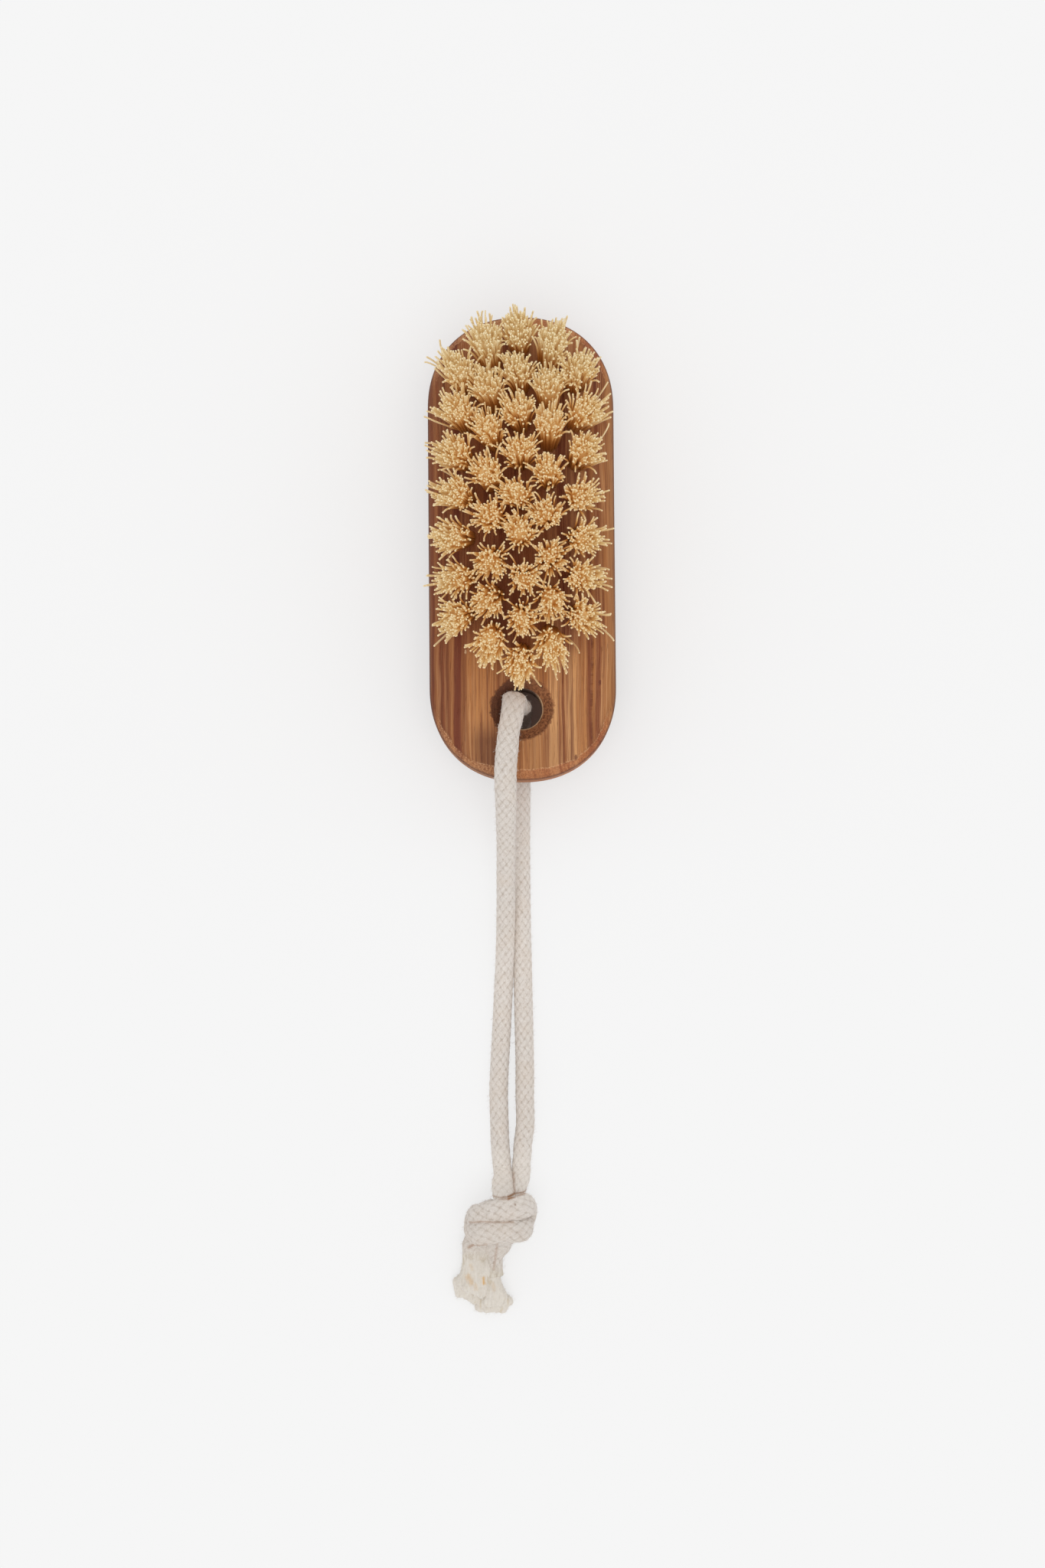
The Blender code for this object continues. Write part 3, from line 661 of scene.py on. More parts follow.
def cotton_finish(name):
    """Raw cotton braid: pale strands, greyer in the creases as painted shade, each of several yarns, with
    seed specks.
    """
    finish = Finish(name)
    tones = COTTON_TONES
    uv = finish.node("ShaderNodeUVMap", {"uv_map": "braid"}, None, "UV")
    turn, run, _ = finish.separate(uv)
    first = turn * float(BRAID_STRANDS_EACH_WAY) + run
    second = turn * float(BRAID_STRANDS_EACH_WAY) - run
    cell = finish.math("FLOOR", first) + finish.math("FLOOR", second)
    second_on_top = finish.math("PINGPONG", cell, 1.0)
    first_on_top = 1.0 - second_on_top
    across = finish.math("FRACT", first) * first_on_top + finish.math("FRACT", second) * second_on_top
    own = first * first_on_top + second * second_on_top
    other = second * first_on_top + first * second_on_top
    grain = finish.noise(finish.combine(own * 3.4, other * 1.2, second_on_top * 5.0), 1.0, 2.0, 0.6)
    place = finish.place()
    fuzz = finish.noise(place, 5200.0, 3.0, 0.6)
    yarns = finish.math("SINE", across * (2 * math.pi * YARNS_IN_STRAND) + fuzz * 4.0) * 0.5 + 0.5
    crest = finish.attribute("crest")
    lift = finish.fade(crest + (finish.noise(place, 900.0, 2.0) - 0.5) * 0.7, 0.15, 0.85)
    blotch = finish.noise(place, 170.0, 2.0)
    grey = finish.noise(place, 520.0, 2.0)
    # painted shade: the braid is darker and greyer where it lies low between its strands
    colour = finish.mix(lift, paint(*tones["crease"]), paint(*tones["strand"]))
    colour = finish.tint(colour, yarns * 0.10, tones["between yarns"])
    colour = finish.layers(
        colour, tones, (grain, 0.52, 0.66, 0.36, "pale yarn"), (grain, 0.46, 0.34, 0.35, "dull yarn"),
        (fuzz, 0.48, 0.66, 0.40, "pale fuzz"), (fuzz, 0.44, 0.30, 0.35, "dull fuzz"),
        (grey, 0.50, 0.70, 0.30, "grey"), (blotch, 0.45, 0.75, 0.16, "tea"))

    # the knot is darker from handling, the braid above it has painted light that lifts the shade of its
    # relief, and below it the ends are brushed open
    x, y, z = finish.separate(place)
    knot_x, knot_y = KNOT_CENTRE.x, KNOT_CENTRE.y
    handled = finish.fade(y, knot_y + 0.0035, knot_y + 0.0015)
    colour = finish.tint(colour, handled * 0.12, tones["handled"])
    # painted light on the runs just above the knot
    painted_light_above_knot = finish.fade(y, -0.128, -0.134) * finish.fade(y, knot_y + 0.0035, knot_y + 0.0065)
    colour = finish.tint(colour, painted_light_above_knot * 0.28, tones["painted light"])
    brushed = finish.fade(x, knot_x - 0.0018, knot_x - 0.0032)
    brushed = brushed * finish.fade(y, knot_y - 0.0048, knot_y - 0.0090)
    streaks = finish.noise(finish.combine(x * 1700.0, y * 260.0, z * 1700.0), 1.0, 3.0, 0.6)
    loose = finish.fade(streaks, 0.40, 0.62)
    loose = finish.mix(loose, paint(*tones["loose pale"]), paint(*tones["loose dull"]))
    opening = finish.fade(y + (streaks - 0.5) * 0.003, knot_y - 0.0088, knot_y - 0.0122)
    colour = finish.mix(finish.math("MAXIMUM", brushed * 0.8, opening * 0.9), colour, loose)

    # painted brown shade along the creases of the knot
    colour = finish.tint(colour, finish.painted_crease_shade(CORD_CREASE_SHADE, fuzz), tones["painted_crease_shade"])
    specks = finish.node("ShaderNodeTexVoronoi", None, {"Vector": place, "Scale": 260.0}, "Distance")
    rare = finish.noise(place, 75.0, 0.0)
    seed = finish.fade(specks, 0.13, 0.05) * finish.fade(rare, 0.62, 0.66)
    colour = finish.tint(colour, seed * 0.8, tones["seed"])
    # painted shade on the cord where it stands down in the hole
    hole_shade = finish.fade(z, 0.0126, 0.0100) * finish.fade(y, -0.0410, -0.0395)
    colour = finish.tint(colour, hole_shade * 0.85, tones["in the hole"])
    finish.set("Base Color", colour)

    # painted glow all over the cotton, stronger on the run beneath, for light that spreads inside the cotton
    # and that the pale sheet throws back
    beneath = finish.fade(z, 0.0065, 0.0045) * finish.fade(y, -0.115, -0.085) * finish.fade(y, -0.048, -0.055)
    finish.set("Emission Color", finish.mix(beneath * 0.6, finish.tint(colour, 0.5, (0, 0, 0)), colour))
    finish.set("Emission Strength", COTTON_GLOW * 2)
    finish.set("Roughness", 0.92 - 0.08 * lift)
    finish.set("Sheen Weight", COTTON_SHEEN)
    finish.set("Sheen Roughness", 0.6)
    finish.set("Specular IOR Level", COTTON_SPECULAR)
    finish.relief(yarns * 0.4 + fuzz * 0.9, 0.00010, 0.5)
    return finish


def fuzz_tree():
    """Geometry nodes: short loose hairs stand out from a skin, which is kept."""
    tree = bpy.data.node_groups.new("fuzz", "GeometryNodeTree")
    kinds = {
        "Skin": "Geometry", "Per Square Metre": "Float", "Length": "Float", "Thickness": "Float",
        "Seed": "Int", "Finish": "Material",
    }
    nodes, size = named_inputs(tree, kinds)

    def chance_way(x, y, z):
        return nodes.noise(nodes.combine(x, y, z), 1.0, 1.0, 0.5, "Color") - 0.5

    values = {"Mesh": size["Skin"], "Density": size["Per Square Metre"], "Seed": size["Seed"]}
    points = nodes.node("GeometryNodeDistributePointsOnFaces", None, values)
    normal = Link(nodes, points.socket.node.outputs["Normal"])
    number = nodes.node("GeometryNodeInputIndex")
    swirl = chance_way(number * 0.731, number * 0.117, 0.5)
    twist = chance_way(number * 0.337, 8.5, number * 0.219)
    points = nodes.keep(points, "hair_foot", "FLOAT_VECTOR", nodes.node("GeometryNodeInputPosition"))
    points = nodes.keep(points, "hair_way", "FLOAT_VECTOR", normal * 0.45 + swirl * 3.2)
    points = nodes.keep(points, "hair_curl", "FLOAT_VECTOR", twist * 3.0)
    points = nodes.node("GeometryNodeSetPosition", None, {"Geometry": points, "Position": (0.0, 0.0, 0.0)})
    line = nodes.node("GeometryNodeCurvePrimitiveLine", None, {"End": (0.0, 0.0, 1.0)})
    line = nodes.node("GeometryNodeResampleCurve", None, {"Curve": line, "Count": 4})
    hairs = nodes.node("GeometryNodeInstanceOnPoints", None, {"Points": points, "Instance": line})
    hairs = nodes.node("GeometryNodeRealizeInstances", None, {"Geometry": hairs})
    t = nodes.node("GeometryNodeSplineParameter", None, None, "Factor")
    foot, way, curl = (nodes.named(name, "FLOAT_VECTOR") for name in ("hair_foot", "hair_way", "hair_curl"))
    path = foot + (way * t + curl * (t * t)) * size["Length"]
    hairs = nodes.node("GeometryNodeSetPosition", None, {"Geometry": hairs, "Position": path})
    ring = nodes.node("GeometryNodeCurvePrimitiveCircle", None, {"Resolution": 3, "Radius": 1.0})
    values = {"Curve": hairs, "Profile Curve": ring, "Scale": size["Thickness"] * 0.5, "Fill Caps": True}
    hairs = nodes.node("GeometryNodeCurveToMesh", None, values)
    hairs = nodes.keep(hairs, "crest", "FLOAT", 0.7)
    both = nodes.node("GeometryNodeJoinGeometry", None, {"Geometry": hairs})
    tree.links.new(size["Skin"].socket, both.socket.node.inputs[0])
    both = nodes.node("GeometryNodeRealizeInstances", None, {"Geometry": both})
    both = nodes.node("GeometryNodeSetMaterial", None, {"Geometry": both, "Material": size["Finish"]})
    tree.links.new(both.socket, tree.nodes.new("NodeGroupOutput").inputs[0])
    return tree


def named_inputs(tree, kinds):
    """Give a node tree its named inputs and one mesh output."""
    for name, kind in kinds.items():
        tree.interface.new_socket(name=name, in_out="INPUT", socket_type="NodeSocket" + kind)
    tree.interface.new_socket(name="Mesh", in_out="OUTPUT", socket_type="NodeSocketGeometry")
    nodes = Nodes(tree)
    given = tree.nodes.new("NodeGroupInput")
    return nodes, {name: Link(nodes, given.outputs[name]) for name in kinds}


def run_tree(name, source_mesh, tree, sizes, finish):
    """Run a node tree on a mesh and keep what it makes as a plain mesh."""
    source = add_object(name, source_mesh)
    grower = source.modifiers.new("grower", "NODES")
    grower.node_group = tree
    sockets = {item.name: item.identifier for item in tree.interface.items_tree if item.in_out == "INPUT"}
    for key, value in sizes.items():
        grower[sockets[key]] = value
    grower[sockets["Finish"]] = finish.material
    mesh = plain_mesh(source)
    for vert in mesh.vertices:
        vert.co.z = max(vert.co.z, TABLE_GAP)
    mesh.name = name
    return mesh


def in_hole(point):
    """1 for the part of the cord that stands in the hole, 0 for the rest."""
    return smoothstep(*IN_HOLE_Y, point.y) * smoothstep(*IN_HOLE_Z, point.z)


def laid_beside(point, shifts):
    """How far a run lies to the right of the CAD's line, in mm."""
    along = point.y * PER_MM
    for (near_y, near), (far_y, far) in zip(shifts, shifts[1:]):
        if far_y <= along <= near_y:
            return near + (far - near) * smoothstep(near_y, far_y, along)
    return 0.0


def run_shape(pressed, shifts):
    """Shape of a run: the upper one is pressed flat and wide where it bends over the block."""
    def shape(point, tangent):
        sideways = Vector((1.0, 0.0, 0.0))
        sideways = (sideways - tangent * sideways.dot(tangent)).normalized()
        flat = pressed * smoothstep(*FLAT_Y, point.y)
        turned = pressed * smoothstep(*BEND_Y, point.y) * smoothstep(*BEND_Z, point.z)
        radius = CORD_DIAMETER / 2
        wide = radius * (1 + FLAT_SPREAD * flat * (1 - in_hole(point)) + BEND_SPREAD * turned)
        beside = Vector((laid_beside(point, shifts), BEND_SET_BACK * turned, 0.0))
        moved = beside.lerp(Vector((*SHIFT_IN_HOLE, 0.0)), in_hole(point)) * MM
        return sideways.cross(tangent), radius * (1 - FLAT_SQUEEZE * flat), wide, moved, 0.0
    return shape


def knot_shape(tail_thin, tail_wide, tail_open, tail_flare=0.0):
    """Shape of a strand from a round cord through the pressed wraps of the knot to its flattened tail."""
    def shape(point, tangent):
        away = point - KNOT_HEART
        tail = smoothstep(*TAIL_Y, away.y)
        outward = away.normalized().lerp(Vector((0.0, 0.0, 1.0)), tail)
        outward = outward - tangent * outward.dot(tangent)
        outward = (outward if outward.length > 1e-5 else tangent.orthogonal()).normalized()
        pressed = smoothstep(*WRAP_REACH, away.length) * (1 - tail)
        radius = CORD_DIAMETER / 2
        thin = radius * (1 - WRAP_SQUEEZE * pressed + (tail_thin - 1) * tail)
        wide = radius * (1 + WRAP_SPREAD * pressed + (tail_wide - 1) * tail)
        waver = soft_noise.noise(point * 320) * WRAP_WAVER * pressed
        flare = tail_flare * smoothstep(*FLARE_START_Y, away.y) * smoothstep(*FLARE_END_Y, away.y)
        return outward, thin, wide + flare, Vector((flare, waver, 0.0)), tail_open * tail
    return shape


def build_cord(kind, run_points, strand_points, shapes, finish, fuzz, seed):
    """One half of the cord, from the hole to its frayed end, cut into its run and its strand in the knot."""
    strand = [KNOT_CENTRE + Vector(point) * KNOT_PITCH for point in strand_points]
    route = smooth_route([Vector(point) for point in run_points[:-1]] + strand, BRAID_STEP)
    frames = cord_frames(route)
    cut = next(k for k, point in enumerate(route) if point.y < strand[0].y)
    pieces = []
    for name, node, first, last, shape in (
        (f"cord_{kind}", f"cord_{kind}_run", 0, cut, shapes[0]),
        (f"knot_{kind}", f"knot_strand_{kind}", cut, len(route) - 1, shapes[1]),
    ):
        skin = braid_mesh(name + "_skin", route, frames, first, last, shape)
        sizes = {
            "Per Square Metre": FUZZ_PER_SQUARE_METRE, "Length": FUZZ_LENGTH, "Thickness": FUZZ_THICKNESS,
            "Seed": seed,
        }
        mesh = run_tree(name, skin, fuzz, sizes, finish)
        pieces.append(add_piece(name, mesh, finish, "cotton", node))
    path = [route[k] + shapes[0](route[k], frames[k][0])[3] for k in range(0, cut + 1, PATH_STRIDE)]
    return *pieces, path


cotton = cotton_finish("braided_cotton")
fuzz_nodes = fuzz_tree()
over_shapes = (run_shape(1.0, OVER_SHIFTS), knot_shape(0.66, 1.80, 1.0))
under_shapes = (run_shape(0.0, UNDER_SHIFTS), knot_shape(0.94, 1.02, 0.3, 0.00092))
over_cord, over_knot, over_path = build_cord(
    "over", OVER_RUN, OVER_STRAND, over_shapes, cotton, fuzz_nodes, 5)
under_cord, under_knot, under_path = build_cord(
    "under", UNDER_RUN, UNDER_STRAND, under_shapes, cotton, fuzz_nodes, 6)


# Fibres and tufts

def fibre_tree():
    """Geometry nodes: from each point, a bundle of fibres grows to the place in its "tip" attribute.

    The bundle's other attributes are its number of fibres, how far they fan out, their girth, how much
    they swell and round off towards their ends, and how far they count as grown out of the tuft.
    """
    tree = bpy.data.node_groups.new("fibre_bundles", "GeometryNodeTree")
    kinds = {
        "Bundles": "Geometry", "Root Radius": "Float", "Waviness": "Float", "Clumping": "Float",
        "Curl": "Float", "Uneven Length": "Float", "Flare": "Float", "Flatness": "Float",
        "Gather": "Float", "Locks Per Metre": "Float", "Points": "Int", "Sides": "Int", "Side": "Vector",
        "Seed": "Int", "Finish": "Material",
    }
    nodes, size = named_inputs(tree, kinds)
    values = {"Geometry": size["Bundles"], "Amount": nodes.named("fibres", "INT")}
    starts = nodes.node("GeometryNodeDuplicateElements", {"domain": "POINT"}, values)
    number = nodes.node("GeometryNodeInputIndex")

    def chance(low, high, salt):
        values = {"Min_001": low, "Max_001": high, "ID": number, "Seed": size["Seed"] + float(salt)}
        node = tree.nodes.new("FunctionNodeRandomValue")
        node.data_type = "FLOAT"
        for socket in node.inputs:
            value = values.get(socket.identifier)
            if isinstance(value, Link):
                tree.links.new(value.socket, socket)
            elif value is not None:
                socket.default_value = value
        return Link(nodes, next(socket for socket in node.outputs if socket.identifier == "Value_001"))

    root = nodes.node("GeometryNodeInputPosition")
    fan = nodes.named("fan", "FLOAT")
    reach = nodes.named("tip", "FLOAT_VECTOR") - root
    length = nodes.vector("LENGTH", reach, output="Value")
    axis = nodes.vector("NORMALIZE", reach)
    across = nodes.vector("NORMALIZE", nodes.vector("CROSS_PRODUCT", axis, size["Side"]))
    along = nodes.vector("CROSS_PRODUCT", axis, across)
    angle = chance(0.0, 2 * math.pi, 1)
    share = nodes.math("SQRT", chance(0.0, 1.0, 2))
    cosine, sine = nodes.math("COSINE", angle), nodes.math("SINE", angle)
    heading = across * cosine + along * sine
    fanned = across * cosine + along * (sine * size["Flatness"])
    border = nodes.math("POWER", share, 7.0) * size["Flare"] * chance(0.0, 1.0, 3)
    spread = fan * share * (chance(0.80, 1.15, 4) + border)
    grown = length * (chance(-1.0, 0.4, 5) * size["Uneven Length"] + 1.0)
    drop = spread * spread / (length * 1.5)
    foot = root + heading * (share * size["Root Radius"])
    clump = (nodes.noise(foot, 620.0, 1.0, 0.5, "Color") - 0.5) * size["Clumping"]
    free = root + axis * (grown - drop) + fanned * spread
    cells = {"Vector": free, "Scale": size["Locks Per Metre"]}
    lock = nodes.node("ShaderNodeTexVoronoi", {"voronoi_dimensions": "2D"}, cells, "Position")
    gather = nodes.combine(size["Gather"], size["Gather"], 0.0)
    tip = free + (lock - free) * gather + clump
    knee = foot + axis * (length * chance(0.70, 0.90, 6)) + fanned * (spread * 0.20)
    bend_angle = chance(0.0, 2 * math.pi, 7)
    # fibres that have splayed out of the tuft are straighter
    calm = nodes.limit(1.0 - (nodes.named("grown", "FLOAT") - 1.0) * 3.5, 0.15, 1.0)
    bend_size = chance(0.15, 1.0, 8) * size["Curl"] * calm
    curl = across * (nodes.math("COSINE", bend_angle) * bend_size)
    curl = curl + along * (nodes.math("SINE", bend_angle) * bend_size)
    for name, value in (("foot", foot), ("knee", knee), ("end", tip), ("curl", curl)):
        starts = nodes.keep(starts, "fibre_" + name, "FLOAT_VECTOR", value)
    starts = nodes.keep(starts, "tone", "FLOAT", chance(0.0, 1.0, 9))
    starts = nodes.node("GeometryNodeSetPosition", None, {"Geometry": starts, "Position": (0.0, 0.0, 0.0)})

    line = nodes.node("GeometryNodeCurvePrimitiveLine", None, {"End": (0.0, 0.0, 1.0)})
    line = nodes.node("GeometryNodeResampleCurve", None, {"Curve": line, "Count": size["Points"]})
    fibres = nodes.node("GeometryNodeInstanceOnPoints", None, {"Points": starts, "Instance": line})
    fibres = nodes.node("GeometryNodeRealizeInstances", None, {"Geometry": fibres})
    t = nodes.node("GeometryNodeSplineParameter", None, None, "Factor")
    rest = 1.0 - t
    kept = ("foot", "knee", "end", "curl")
    foot, knee, tip, curl = (nodes.named("fibre_" + name, "FLOAT_VECTOR") for name in kept)
    tone = nodes.named("tone", "FLOAT")
    bend = foot * (rest * rest) + knee * (rest * t * 2.0) + tip * (t * t) + curl * nodes.math("POWER", t, 5.0)
    sway = nodes.noise(nodes.combine(t * 2.6, tone * 937.0, 0.0), 1.0, 1.0, 0.5, "Color")
    bend = bend + (sway - 0.5) * (size["Waviness"] * t)
    fibres = nodes.node("GeometryNodeSetPosition", None, {"Geometry": fibres, "Position": bend})
    fibres = nodes.keep(fibres, "growth", "FLOAT", t * nodes.named("grown", "FLOAT"))
    fibres = nodes.keep(fibres, "along", "FLOAT", t)
    blunt = nodes.math("SQRT", 1.03 - nodes.named("round", "FLOAT") * nodes.math("POWER", t, 6.0))
    swell = nodes.named("swell", "FLOAT") * (t - 0.5) + 1.0
    half = nodes.named("girth", "FLOAT") * (tone * 0.16 + 0.42) * blunt * swell
    ring = nodes.node("GeometryNodeCurvePrimitiveCircle", None, {"Resolution": size["Sides"], "Radius": 1.0})
    values = {"Curve": fibres, "Profile Curve": ring, "Scale": half, "Fill Caps": True}
    skin = nodes.node("GeometryNodeCurveToMesh", None, values)
    skin = nodes.node("GeometryNodeRealizeInstances", None, {"Geometry": skin})
    skin = nodes.node("GeometryNodeSetMaterial", None, {"Geometry": skin, "Material": size["Finish"]})
    tree.links.new(skin.socket, tree.nodes.new("NodeGroupOutput").inputs[0])
    return tree


# What each bundle is given: its root, then these
BUNDLE_VALUES = (
    ("tip", "FLOAT_VECTOR", "vector"), ("fibres", "INT", "value"), ("fan", "FLOAT", "value"),
    ("girth", "FLOAT", "value"), ("swell", "FLOAT", "value"), ("round", "FLOAT", "value"),
    ("grown", "FLOAT", "value"),
)


def grow_fibres(name, tree, bundles, sizes, finish, slot, *replaced):
    """Run the fibre nodes on bundles, each its root and BUNDLE_VALUES, and keep the result as a piece."""
    points = bpy.data.meshes.new(name + "_roots")
    points.from_pydata([bundle[0] for bundle in bundles], [], [])
    for number, (title, kind, field) in enumerate(BUNDLE_VALUES, start=1):
        layer = points.attributes.new(title, kind, "POINT")
        for item, bundle in zip(layer.data, bundles):
            setattr(item, field, bundle[number])
    mesh = run_tree(name, points, tree, sizes, finish)
    mesh.shade_smooth()
    return add_piece(name, mesh, None, slot, *replaced)


def bristle_finish():
    """Tampico fibre: pale straw ends, then golden stems and orange-brown roots in painted shade that deepens
    into the tuft.
    """
    finish = Finish("plant_fibre")
    tones = FIBRE_TONES
    growth = finish.attribute("growth")
    tone = finish.attribute("tone")
    place = finish.place()
    grain = finish.noise(place, 3800.0, 2.0)
    # painted shade: darker and more orange the deeper a point lies in the tuft
    colour = finish.ramp(
        growth + (tone - 0.5) * 0.16, tones, (0.00, "root"), (0.40, "stem"), (0.62, "golden"),
        (0.76, "straw"), (0.90, "pale"), (1.0, "end"))
    colour = finish.layers(
        colour, tones, (tone, 0.60, 1.0, 0.25, "brown"), (grain, 0.50, 0.75, 0.18, "shine"),
        (finish.attribute("along"), 0.965, 0.995, 0.30, "cut"))
    # the tufts of the far end and of the long sides are paler straw
    x, y, _ = finish.separate(place)
    sides = finish.fade(abs(x), 0.0115, 0.0165) * 0.6
    straw = finish.math("MAXIMUM", finish.fade(y, 0.022, 0.042), sides) * finish.fade(growth, 0.50, 0.85)
    finish.set("Base Color", finish.tint(colour, straw * 0.50, tones["pale straw"]))
    # painted glow, for light that the fibres let through, so the gaps between them are golden, not dark
    glow = finish.ramp(
        growth, tones, (0.0, "deep glow"), (0.5, "stem glow"), (0.8, "golden glow"), (1.0, "end glow"))
    finish.set("Emission Color", finish.tint(glow, straw * 0.6, tones["straw glow"]))
    finish.set("Emission Strength", STEM_GLOW)
    finish.set("Roughness", 0.55 + 0.20 * grain)
    finish.set("Specular IOR Level", 0.3)
    finish.relief(grain, 0.00006, 0.5)
    return finish


def tuft_foot(column, row):
    """Where a tuft stands: its place across the block, and how far along from the middle of the field."""
    rows = len(PUSHED_OVER[column])
    return column * COLUMN_SPACING, ((rows - 1) / 2 - row) * ROW_SPACING


def tuft_bundles(column, row):
    """The bundles of one tuft: its fibres round a core, the splayed ones of a border tuft, and its strays."""
    push_x, push_y = PUSHED_OVER[column][row]
    x, step = tuft_foot(column, row)
    mouth = Vector((x, FIELD_CENTRE_Y + step, BLOCK_THICKNESS))
    tip_x = x * TIP_FAN_ACROSS + push_x * MM
    tip_y = FIELD_CENTRE_Y + step * TIP_FAN_ALONG + push_y * MM
    tip = Vector((tip_x, tip_y, BRISTLE_TOP))
    root = mouth.lerp(tip, -ROOT_SHARE)
    single = (FIBRE_THICKNESS, 0.0, 0.0)
    core = (CORE_THICKNESS, CORE_SWELL, CORE_ROUNDING, CORE_GROWTH)
    bundles = [
        (root, tip, FIBRES_IN_TUFT, HEAD_RADIUS, *single, 1.0),
        (root, root.lerp(tip, CORE_SHARE), 1, 0.0, *core),
    ]
    if abs(column) == max(PUSHED_OVER) or row in (0, len(PUSHED_OVER[column]) - 1):
        beyond = math.copysign(max(abs(step) - SPLAY_ENDS_FROM, 0.0), step)
        outward = Vector((x, beyond * SPLAY_END_SHARE, 0.0)).normalized()
        splay = tip + outward * SPLAY_OUT - Vector((0.0, 0.0, SPLAY_DOWN))
        bundles.append((root, splay, SPLAYED_FIBRES, SPLAY_FAN, *single, SPLAYED_GROWTH))
    for stray_column, stray_row, end_x, end_y in STRAY_ENDS:
        if (stray_column, stray_row) == (column, row):
            end = Vector((end_x * MM, end_y * MM, STRAY_HEIGHT))
            bundles.append((root, end, 1, 0.0, *single, STRAY_GROWTH))
    return [(BLOCK_AT_REST @ root, BLOCK_AT_REST @ tip, *rest) for root, tip, *rest in bundles]


TUFT_SIZES = {
    "Root Radius": TUFT_HOLE_DIAMETER / 2, "Waviness": 0.0004, "Clumping": 0.0010, "Curl": 0.0007,
    "Uneven Length": 0.11, "Flare": 0.75, "Flatness": 1.0, "Gather": 0.40, "Locks Per Metre": 900.0,
    "Points": 9, "Sides": 6, "Side": (0.0, 1.0, 0.0),
}
fibre_nodes = fibre_tree()
bristle = bristle_finish()
first_tuft = 1
for column, pushes in PUSHED_OVER.items():
    rows = range(len(pushes))
    bundles = [bundle for row in rows for bundle in tuft_bundles(column, row)]
    replaced = [f"tuft_{first_tuft + row:02d}" for row in rows]
    first_tuft += len(pushes)
    sizes = TUFT_SIZES | {"Seed": FIBRE_SEED + column}
    grow_fibres(f"tufts_column_{column + 3}", fibre_nodes, bundles, sizes, bristle, "fibre", *replaced)


# Frayed ends

def fray_finish():
    """Brushed-out cotton: pale, streaked along its locks, with painted shade in its hollows that turns
    orange-brown in the deepest slits.
    """
    finish = Finish("frayed_cotton")
    tones = FRAY_TONES
    x, y, z = finish.separate(finish.place())
    fuzz = finish.noise(finish.place(), 3000.0, 3.0, 0.6)
    streaks = finish.noise(finish.combine(x * 1700.0, y * 260.0, z * 1700.0), 1.0, 3.0, 0.6)
    ragged = finish.noise(finish.combine(x * 2400.0, y * 500.0, z * 2400.0), 1.0, 2.0, 0.6)
    crest = finish.fade(finish.attribute("crest"), 0.05, 0.35)
    # painted shade: darker in the hollows between the flutes
    colour = finish.mix(crest, paint(*tones["shaded slit"]), paint(*tones["crest"]))
    # painted orange-brown shade in the deepest slits
    colour = finish.tint(colour, finish.painted_crease_shade(FRAY_SLIT_SHADE, ragged * 2.4 - 0.6), tones["deep slit shade"])
    colour = finish.layers(
        colour, tones, (streaks, 0.52, 0.70, 0.28, "dull streak"), (streaks, 0.46, 0.32, 0.35, "pale streak"),
        (fuzz, 0.5, 0.8, 0.2, "fuzz"))
    finish.set("Base Color", colour)
    # painted glow, as on the braid
    finish.set("Emission Color", colour)
    finish.set("Emission Strength", COTTON_GLOW)
    finish.set("Roughness", 0.88 + 0.10 * fuzz)
    finish.set("Sheen Weight", COTTON_SHEEN)
    finish.set("Specular IOR Level", COTTON_SPECULAR)
    finish.relief(streaks * 1.2 + fuzz * 0.6, 0.00016, 0.5)
    return finish


def lock_radius(t):
    """A lock's radius, from its root at 0 to its end at 1."""
    root, middle, end = LOCK_RADII
    return root + (middle - root) * smoothstep(0.0, 0.6, t) + (end - middle) * smoothstep(0.6, 1.0, t)


def fluting(place):
    """How high the brushed cotton stands between its flutes at a place in mm, 0.5 on average."""
    x, y, z = place
    flutes = soft_noise.noise(Vector((x * 1.25, y * 0.30, z + 5.0)))
    flutes += 0.45 * soft_noise.noise(Vector((x * 3.1, y * 0.55, z * 2.6)))
    lumps = soft_noise.noise(place * 1.6)
    return 0.5 + 0.62 * flutes + 0.12 * lumps


def brushed_mass(name, locks):
    """Fat locks of loose cotton run together into one skin, fluted along its length."""
    soft_noise.seed_set(LOCK_SWAY_SEED)
    bm = bmesh.new()
    for number, (root_x, root_y, end_x, end_y, height) in enumerate(locks):
        root = KNOT_CENTRE + Vector((root_x * MM, root_y * MM, LOCK_ROOT_HEIGHT))
        end = KNOT_CENTRE + Vector((end_x, end_y, height)) * MM
        for bead in range(LOCK_BEADS + 1):
            t = bead / LOCK_BEADS
            sway = soft_noise.noise_vector(Vector((number * 3.7, t * 2.2, 1.5))) * (LOCK_SWAY * t)
            place = root.lerp(end, t) + sway
            # the locks leave the tail along it, then spread
            place.x = root.x + (end.x - root.x) * t ** 3.0 + sway.x
            place.z = max(place.z, lock_radius(t))
            at_place = Matrix.Translation(place)
            bmesh.ops.create_icosphere(bm, subdivisions=2, radius=lock_radius(t), matrix=at_place)
    source = add_object(name, mesh_of(bm, name))
    joined = source.modifiers.new("joined", "REMESH")
    joined.mode = "VOXEL"
    joined.voxel_size = BRUSHED_VOXEL
    source.modifiers.new("eased", "SMOOTH").iterations = BRUSHED_EASING
    mesh = plain_mesh(source)
    crest = mesh.attributes.new("crest", "FLOAT", "POINT")
    heights = [fluting(vert.co * PER_MM) for vert in mesh.vertices]
    moves = [vert.normal * ((height - 0.5) * 2 * FLUTE_DEPTH) for vert, height in zip(mesh.vertices, heights)]
    for vert, value, height, move in zip(mesh.vertices, crest.data, heights, moves):
        value.value = min(max(height, 0.0), 1.0)
        vert.co += move
    mesh.shade_smooth()
    return mesh


